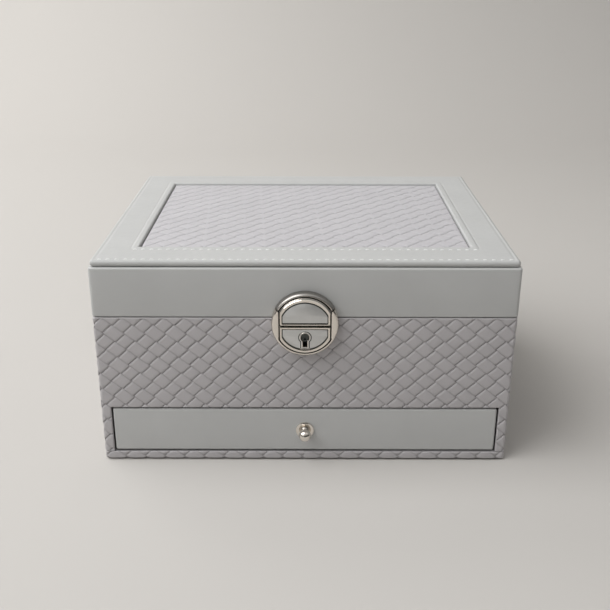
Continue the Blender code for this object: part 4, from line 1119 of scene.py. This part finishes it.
plate_low, plate_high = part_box("lock_plate")
LOCK_RADIUS = plate_high[0]
LOCK_Z = plate_low[2] + LOCK_RADIUS
EAR = plate_high[2] - LOCK_Z
RIM_OUT = FRONT - plate_low[1]
cap_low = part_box("hasp_base")[0]
CAP_LOW = cap_low[2] - LOCK_Z
face_low, face_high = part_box("key_face")
flap_low, flap_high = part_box("hasp_flap")
plug_low, plug_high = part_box("key_plug")
FLAP_RADIUS = flap_high[2] - LOCK_Z
POCKET_HALF = flap_high[0] + 0.35 * MM
FACE_HALF = flap_high[0] - 0.2 * MM
POCKET_RADIUS = FLAP_RADIUS + 0.7 * MM
KEY_Z = (plug_low[2] + plug_high[2]) / 2
PLATE = 1.4 * MM
BORDER = 1.3 * MM
ROUND_SHARE = 1.6  # how much wider the border is along the round edge
BORDER_RISE, GROOVE = 0.3 * MM, 0.25 * MM
RIM_BEVEL, CAP_BEVEL, BEVEL_DROP = 1.8 * MM, 1.5 * MM, 2.5 * MM
RIM_LIP, CAP_LIP = 0.15 * MM, 0.6 * MM  # how far the inner edge falls below the rim's top
LOCK_BACK = 0.3 * MM  # both halves' undersides, out from the front
RIM_FLOOR, CAP_FLOOR, FLOOR_IN = 1.5 * MM, 1.3 * MM, 1 * MM
RIM_GAP = 0.3 * MM  # from the top of the plate's floor to the case's rim
EAR_GAP = 0.6 * MM
CAP_PLATE_HALF = flap_high[0] - 0.3 * MM
RECESS = 0.5 * MM  # how far down the pocket's wall the polish reaches
LUG_HALF, KNUCKLE_GAP = 3 * MM, 0.3 * MM
LUG_EDGE, LUG_ROUND, LUG_BACK = 0.05 * MM, 0.1 * MM, 1.2 * MM
BRIDGE_OVER = 0.3 * MM  # how far a flap's bridge reaches into its plate
FLAP_MIDDLE = 7 * MM  # the point that the flap's rings go round, above the lock's centre
KEY_ROUND, KEY_SLOT_HALF, KEY_DROP = 2.4 * MM, 1.3 * MM, 5.8 * MM
KEY_LIP = 0.9 * MM


def rim_band(start, end, inner, section, steps):
    """A section of (length in from the rim, share of the rest of the way to the inner edge, distance out)
    carried round an arc. Each end is closed with the section's own outline."""
    angle = np.radians(np.linspace(start, end, steps))
    edge = inner(angle)
    rows = []
    for inward, share, out in section:
        rows.append(np.stack([(LOCK_RADIUS - inward) * (1 - share) + edge * share, 0 * angle + out]))
    radius, out = np.stack(rows).transpose(1, 0, 2)
    points = np.stack([radius * np.cos(angle), FRONT - out, LOCK_Z + radius * np.sin(angle)], axis=-1)
    parts = [(points, grid_faces(len(section), steps))]
    middle = points.mean(axis=0)
    for column_index in (0, -1):
        fan = np.stack([points[:, column_index], np.repeat(middle[None, column_index], len(section), axis=0)])
        parts.append((fan, grid_faces(2, len(section))))
    return parts


def lock_faces(item):
    """For each face of a piece of the lock: its distances from the lock's centre and out from the front,
    and how far it looks forward, 1 for a flat one."""
    count = len(item.data.polygons)
    middles, normals = np.empty(count * 3), np.empty(count * 3)
    item.data.polygons.foreach_get("center", middles)
    item.data.polygons.foreach_get("normal", normals)
    x, y, z = middles.reshape(-1, 3).T
    return np.hypot(x, z - LOCK_Z), FRONT - y, -normals.reshape(-1, 3)[:, 1]


def refinish(item, looks):
    """Other finishes for chosen faces: pairs of (material, which faces)."""
    chosen = np.zeros(len(item.data.polygons), np.int32)
    for number, (look, which) in enumerate(looks, 1):
        item.data.materials.append(look)
        chosen[which] = number
    item.data.polygons.foreach_set("material_index", chosen)


def bevel_section(top, drop, width, lip, low, steps=10):
    """Rim section: up the side, over a quarter ellipse, across to the inner edge, down it, and back
    under."""
    angle = np.linspace(0, math.pi / 2, steps)
    section = [(0, 0, low)]
    section += [(width * (1 - math.cos(t)), 0, top - drop + drop * math.sin(t)) for t in angle]
    section += [(width, 0.5, top), (0, 1, top - lip), (0, 1, low), (0, 0, low)]
    return section


def lock_floor(top):
    """A round plate with its underside at the back of the lock."""
    edge = LOCK_RADIUS - FLOOR_IN
    return turned([(0, top), (edge, top), (edge, LOCK_BACK), (0, LOCK_BACK)], 0, FRONT, LOCK_Z, 96)


def make_lock_rim():
    """The plate on the case: its pocket's edge is the nearer of the straight side and the round pocket
    wall."""
    ear = math.degrees(math.asin(EAR / LOCK_RADIUS))

    def pocket(angle):
        side = POCKET_HALF / np.maximum(np.abs(np.cos(angle)), 1e-6)
        return np.minimum(side, POCKET_RADIUS)

    section = bevel_section(RIM_OUT, BEVEL_DROP, RIM_BEVEL, RIM_LIP, LOCK_BACK)
    parts = rim_band(-180 - ear, ear, pocket, section, 161)
    points, faces = lock_floor(RIM_FLOOR)
    points[..., 2] = np.minimum(points[..., 2], RIM - RIM_GAP)
    parts.append((points, faces))
    rim = piece("lock_rim", parts, nickel_look, "case", ["lock_plate"])
    radius, out, _ = lock_faces(rim)
    # The pocket's faces below the polish are dark: painted shade.
    inside = (radius < LOCK_RADIUS - RIM_BEVEL - 0.05 * MM) & (out < RIM_OUT - RECESS)
    refinish(rim, [(dark_and_shade_look, inside)])


def make_cap():
    """The cap on the lid, with the plate behind the flap, and the eye and lug that hold the pin's
    middle."""
    start = math.degrees(math.asin((EAR + EAR_GAP) / LOCK_RADIUS))
    top = FRONT - cap_low[1]
    section = bevel_section(top, BEVEL_DROP, CAP_BEVEL, CAP_LIP, LOCK_BACK)
    parts = rim_band(start, 180 - start, lambda angle: 0 * angle + POCKET_RADIUS, section, 101)
    points, faces = lock_floor(CAP_FLOOR)
    points[..., 0] = np.clip(points[..., 0], -CAP_PLATE_HALF, CAP_PLATE_HALF)
    points[..., 2] = np.maximum(points[..., 2], LOCK_Z + CAP_LOW)
    parts.append((points, faces))
    pin_y, pin_z, _, _ = pin_line("hasp_pin")
    radius = flap_high[1] - pin_y
    parts.append(cylinder(-LUG_HALF, LUG_HALF, pin_y, pin_z, radius, LUG_ROUND))
    near = (LUG_ROUND - LUG_HALF, pin_y, pin_z - 0.9 * radius)
    far = (LUG_HALF - LUG_ROUND, FRONT - LUG_BACK, pin_z + 0.9 * radius)
    parts += block(near, far, LUG_EDGE)
    cap = piece("hasp_cap", parts, nickel_look, "lid", ["hasp_base"])
    radius, out, forward = lock_faces(cap)
    # The bevel's faces take the painted dark reflection, and the faces deep in the pocket painted shade.
    outside = (radius > LOCK_RADIUS - CAP_BEVEL) & (forward < 0.97)
    inside = (radius < LOCK_RADIUS - CAP_BEVEL - 0.05 * MM) & (out < top - RECESS)
    refinish(cap, [(painted_reflection_look, outside), (dark_and_shade_look, inside)])


def plate_reach(angle, inset, middle_z, low, high):
    """Distance from a point on the middle line to a plate's outline drawn in by an inset: the nearest of
    the straight sides, the round edge, and the level lines below and above."""
    across, up = np.cos(angle), np.sin(angle)
    with np.errstate(divide="ignore"):
        side = (FACE_HALF - inset) / np.abs(across)
        level = np.where(up > 0, (high - inset - middle_z) / up, (low + inset - middle_z) / up)
    radius = FLAP_RADIUS - ROUND_SHARE * inset
    round_edge = -middle_z * up + np.sqrt(np.maximum(radius**2 - (middle_z * across) ** 2, 0))
    return np.minimum(np.minimum(side, np.abs(level)), round_edge)


def key_reach(angle, outset):
    """Distance from the keyhole's centre to its outline, widened by an outset: a round hole with a slot
    below."""
    across, up = np.abs(np.cos(angle)), np.sin(angle)
    with np.errstate(divide="ignore"):
        slot = np.minimum((KEY_SLOT_HALF + outset) / across, (KEY_DROP + outset) / np.maximum(-up, 1e-9))
    return np.maximum(KEY_ROUND + outset, np.where(up < 0, slot, 0))


def plate_rings(rings, middle_z, low, high, steps=288):
    """Rings of (which outline, inset, distance out) about a point on the middle line, as one surface."""
    angle = np.linspace(0, 2 * math.pi, steps, endpoint=False)
    rows = []
    for kind, inset, out in rings:
        if kind == "plate":
            reach = plate_reach(angle, inset, middle_z, low, high)
        else:
            reach = key_reach(angle, inset) if kind == "key" else 0 * angle
        x, z = reach * np.cos(angle), LOCK_Z + middle_z + reach * np.sin(angle)
        rows.append(np.stack([x, 0 * x + FRONT - out, z], axis=-1))
    return np.stack(rows), grid_faces(len(rings), steps, True)


def border(back, field, top):
    """Rings of a plate's raised border, from its back edge in to the recessed field."""
    soft = 0.18 * MM
    return [
        ("plate", 0, back),
        ("plate", 0, top - 1.1 * MM),
        ("plate", 0.1 * MM, top - 0.85 * MM),
        ("plate", 0.3 * MM, top - 0.42 * MM),
        ("plate", 0.5 * MM, top),
        ("plate", BORDER - soft, top - 0.02 * MM),
        ("plate", BORDER, top - 0.1 * MM),
        ("plate", BORDER + soft / 2, field - GROOVE),
        ("plate", BORDER + 2 * soft, field - GROOVE),
        ("plate", BORDER + 3 * soft, field),
    ]


def plate_finish(item, field):
    """The border stays polished, the recessed field is satin and the groove between them is dark with painted
    shade.
    """
    _, out, forward = lock_faces(item)
    flat = forward > 0.97
    satin = flat & (np.abs(out - field) < 0.02 * MM)
    groove = (forward > 0.3) & (np.abs(out - field + GROOVE) < 0.14 * MM)
    refinish(item, [(satin_look, satin), (dark_and_shade_look, groove)])


def make_flap():
    """The flap's plate, and its two knuckles round the pin, on bridges behind the plate."""
    top = FRONT - flap_low[1]
    back = top - PLATE
    field = top - BORDER_RISE
    low, high = flap_low[2] - LOCK_Z, flap_high[2] - LOCK_Z
    rings = [("centre", 0, back), *border(back, field, top), ("centre", 0, field)]
    parts = [plate_rings(rings, FLAP_MIDDLE, low, high)]
    pin_y, pin_z, _, ends = pin_line("hasp_pin")
    radius = flap_high[1] - pin_y
    near, far = LUG_HALF + KNUCKLE_GAP, ends[1]
    for start, end in ((-far, -near), (near, far)):
        parts.append(cylinder(start, end, pin_y, pin_z, radius, LUG_ROUND))
        low_corner = (start + LUG_ROUND, FRONT - back - BRIDGE_OVER, pin_z - 0.9 * radius)
        parts += block(low_corner, (end - LUG_ROUND, pin_y, pin_z + 0.9 * radius), LUG_EDGE)
    flap = piece("hasp_flap_plate", parts, nickel_look, "hasp", ["hasp_flap"])
    plate_finish(flap, field)


def make_key_face():
    """The border, the field, a groove round the keyhole's raised lip, and the keyhole's wall."""
    top = FRONT - face_low[1]
    back = FRONT - face_high[1]
    field = top - BORDER_RISE
    low, high = face_low[2] - LOCK_Z, face_high[2] - LOCK_Z
    rings = [
        ("key", 0, back),
        *border(back, field, top),
        ("key", KEY_LIP + 0.5 * MM, field),
        ("key", KEY_LIP + 0.4 * MM, field - GROOVE),
        ("key", KEY_LIP + 0.05 * MM, field - GROOVE),
        ("key", KEY_LIP, field - 0.05 * MM),
        ("key", KEY_LIP - 0.1 * MM, field),
        ("key", 0.45 * MM, field),
        ("key", 0.3 * MM, top),
        ("key", 0.1 * MM, top - 0.08 * MM),
        ("key", 0, top - 0.3 * MM),
        ("key", 0, back),
    ]
    parts = [plate_rings(rings, KEY_Z - LOCK_Z, low, high)]
    face = piece("key_face_plate", parts, nickel_look, "case", ["key_face"])
    plate_finish(face, field)


def make_lock_insides():
    """The bolt, the hook and the pin keep their solids with a steel finish, and the plug with a dark one.
    The two screws get slotted heads."""
    finish_node("key_plug", dark_and_shade_look)
    for node in ("lock_bolt", "hasp_hook", "hasp_pin"):
        finish_node(node, steel_look)
    for side in ("left", "right"):
        node = f"lock_screw_{side}"
        low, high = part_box(node)
        parts = slotted_screw(node, 0.4 + (low[0] + high[0]) / 2 * 50, SMALL_SHANK)
        piece(f"{node}_slotted", parts, steel_look, "case", [node])


make_lock_rim()
make_cap()
make_flap()
make_key_face()
make_lock_insides()
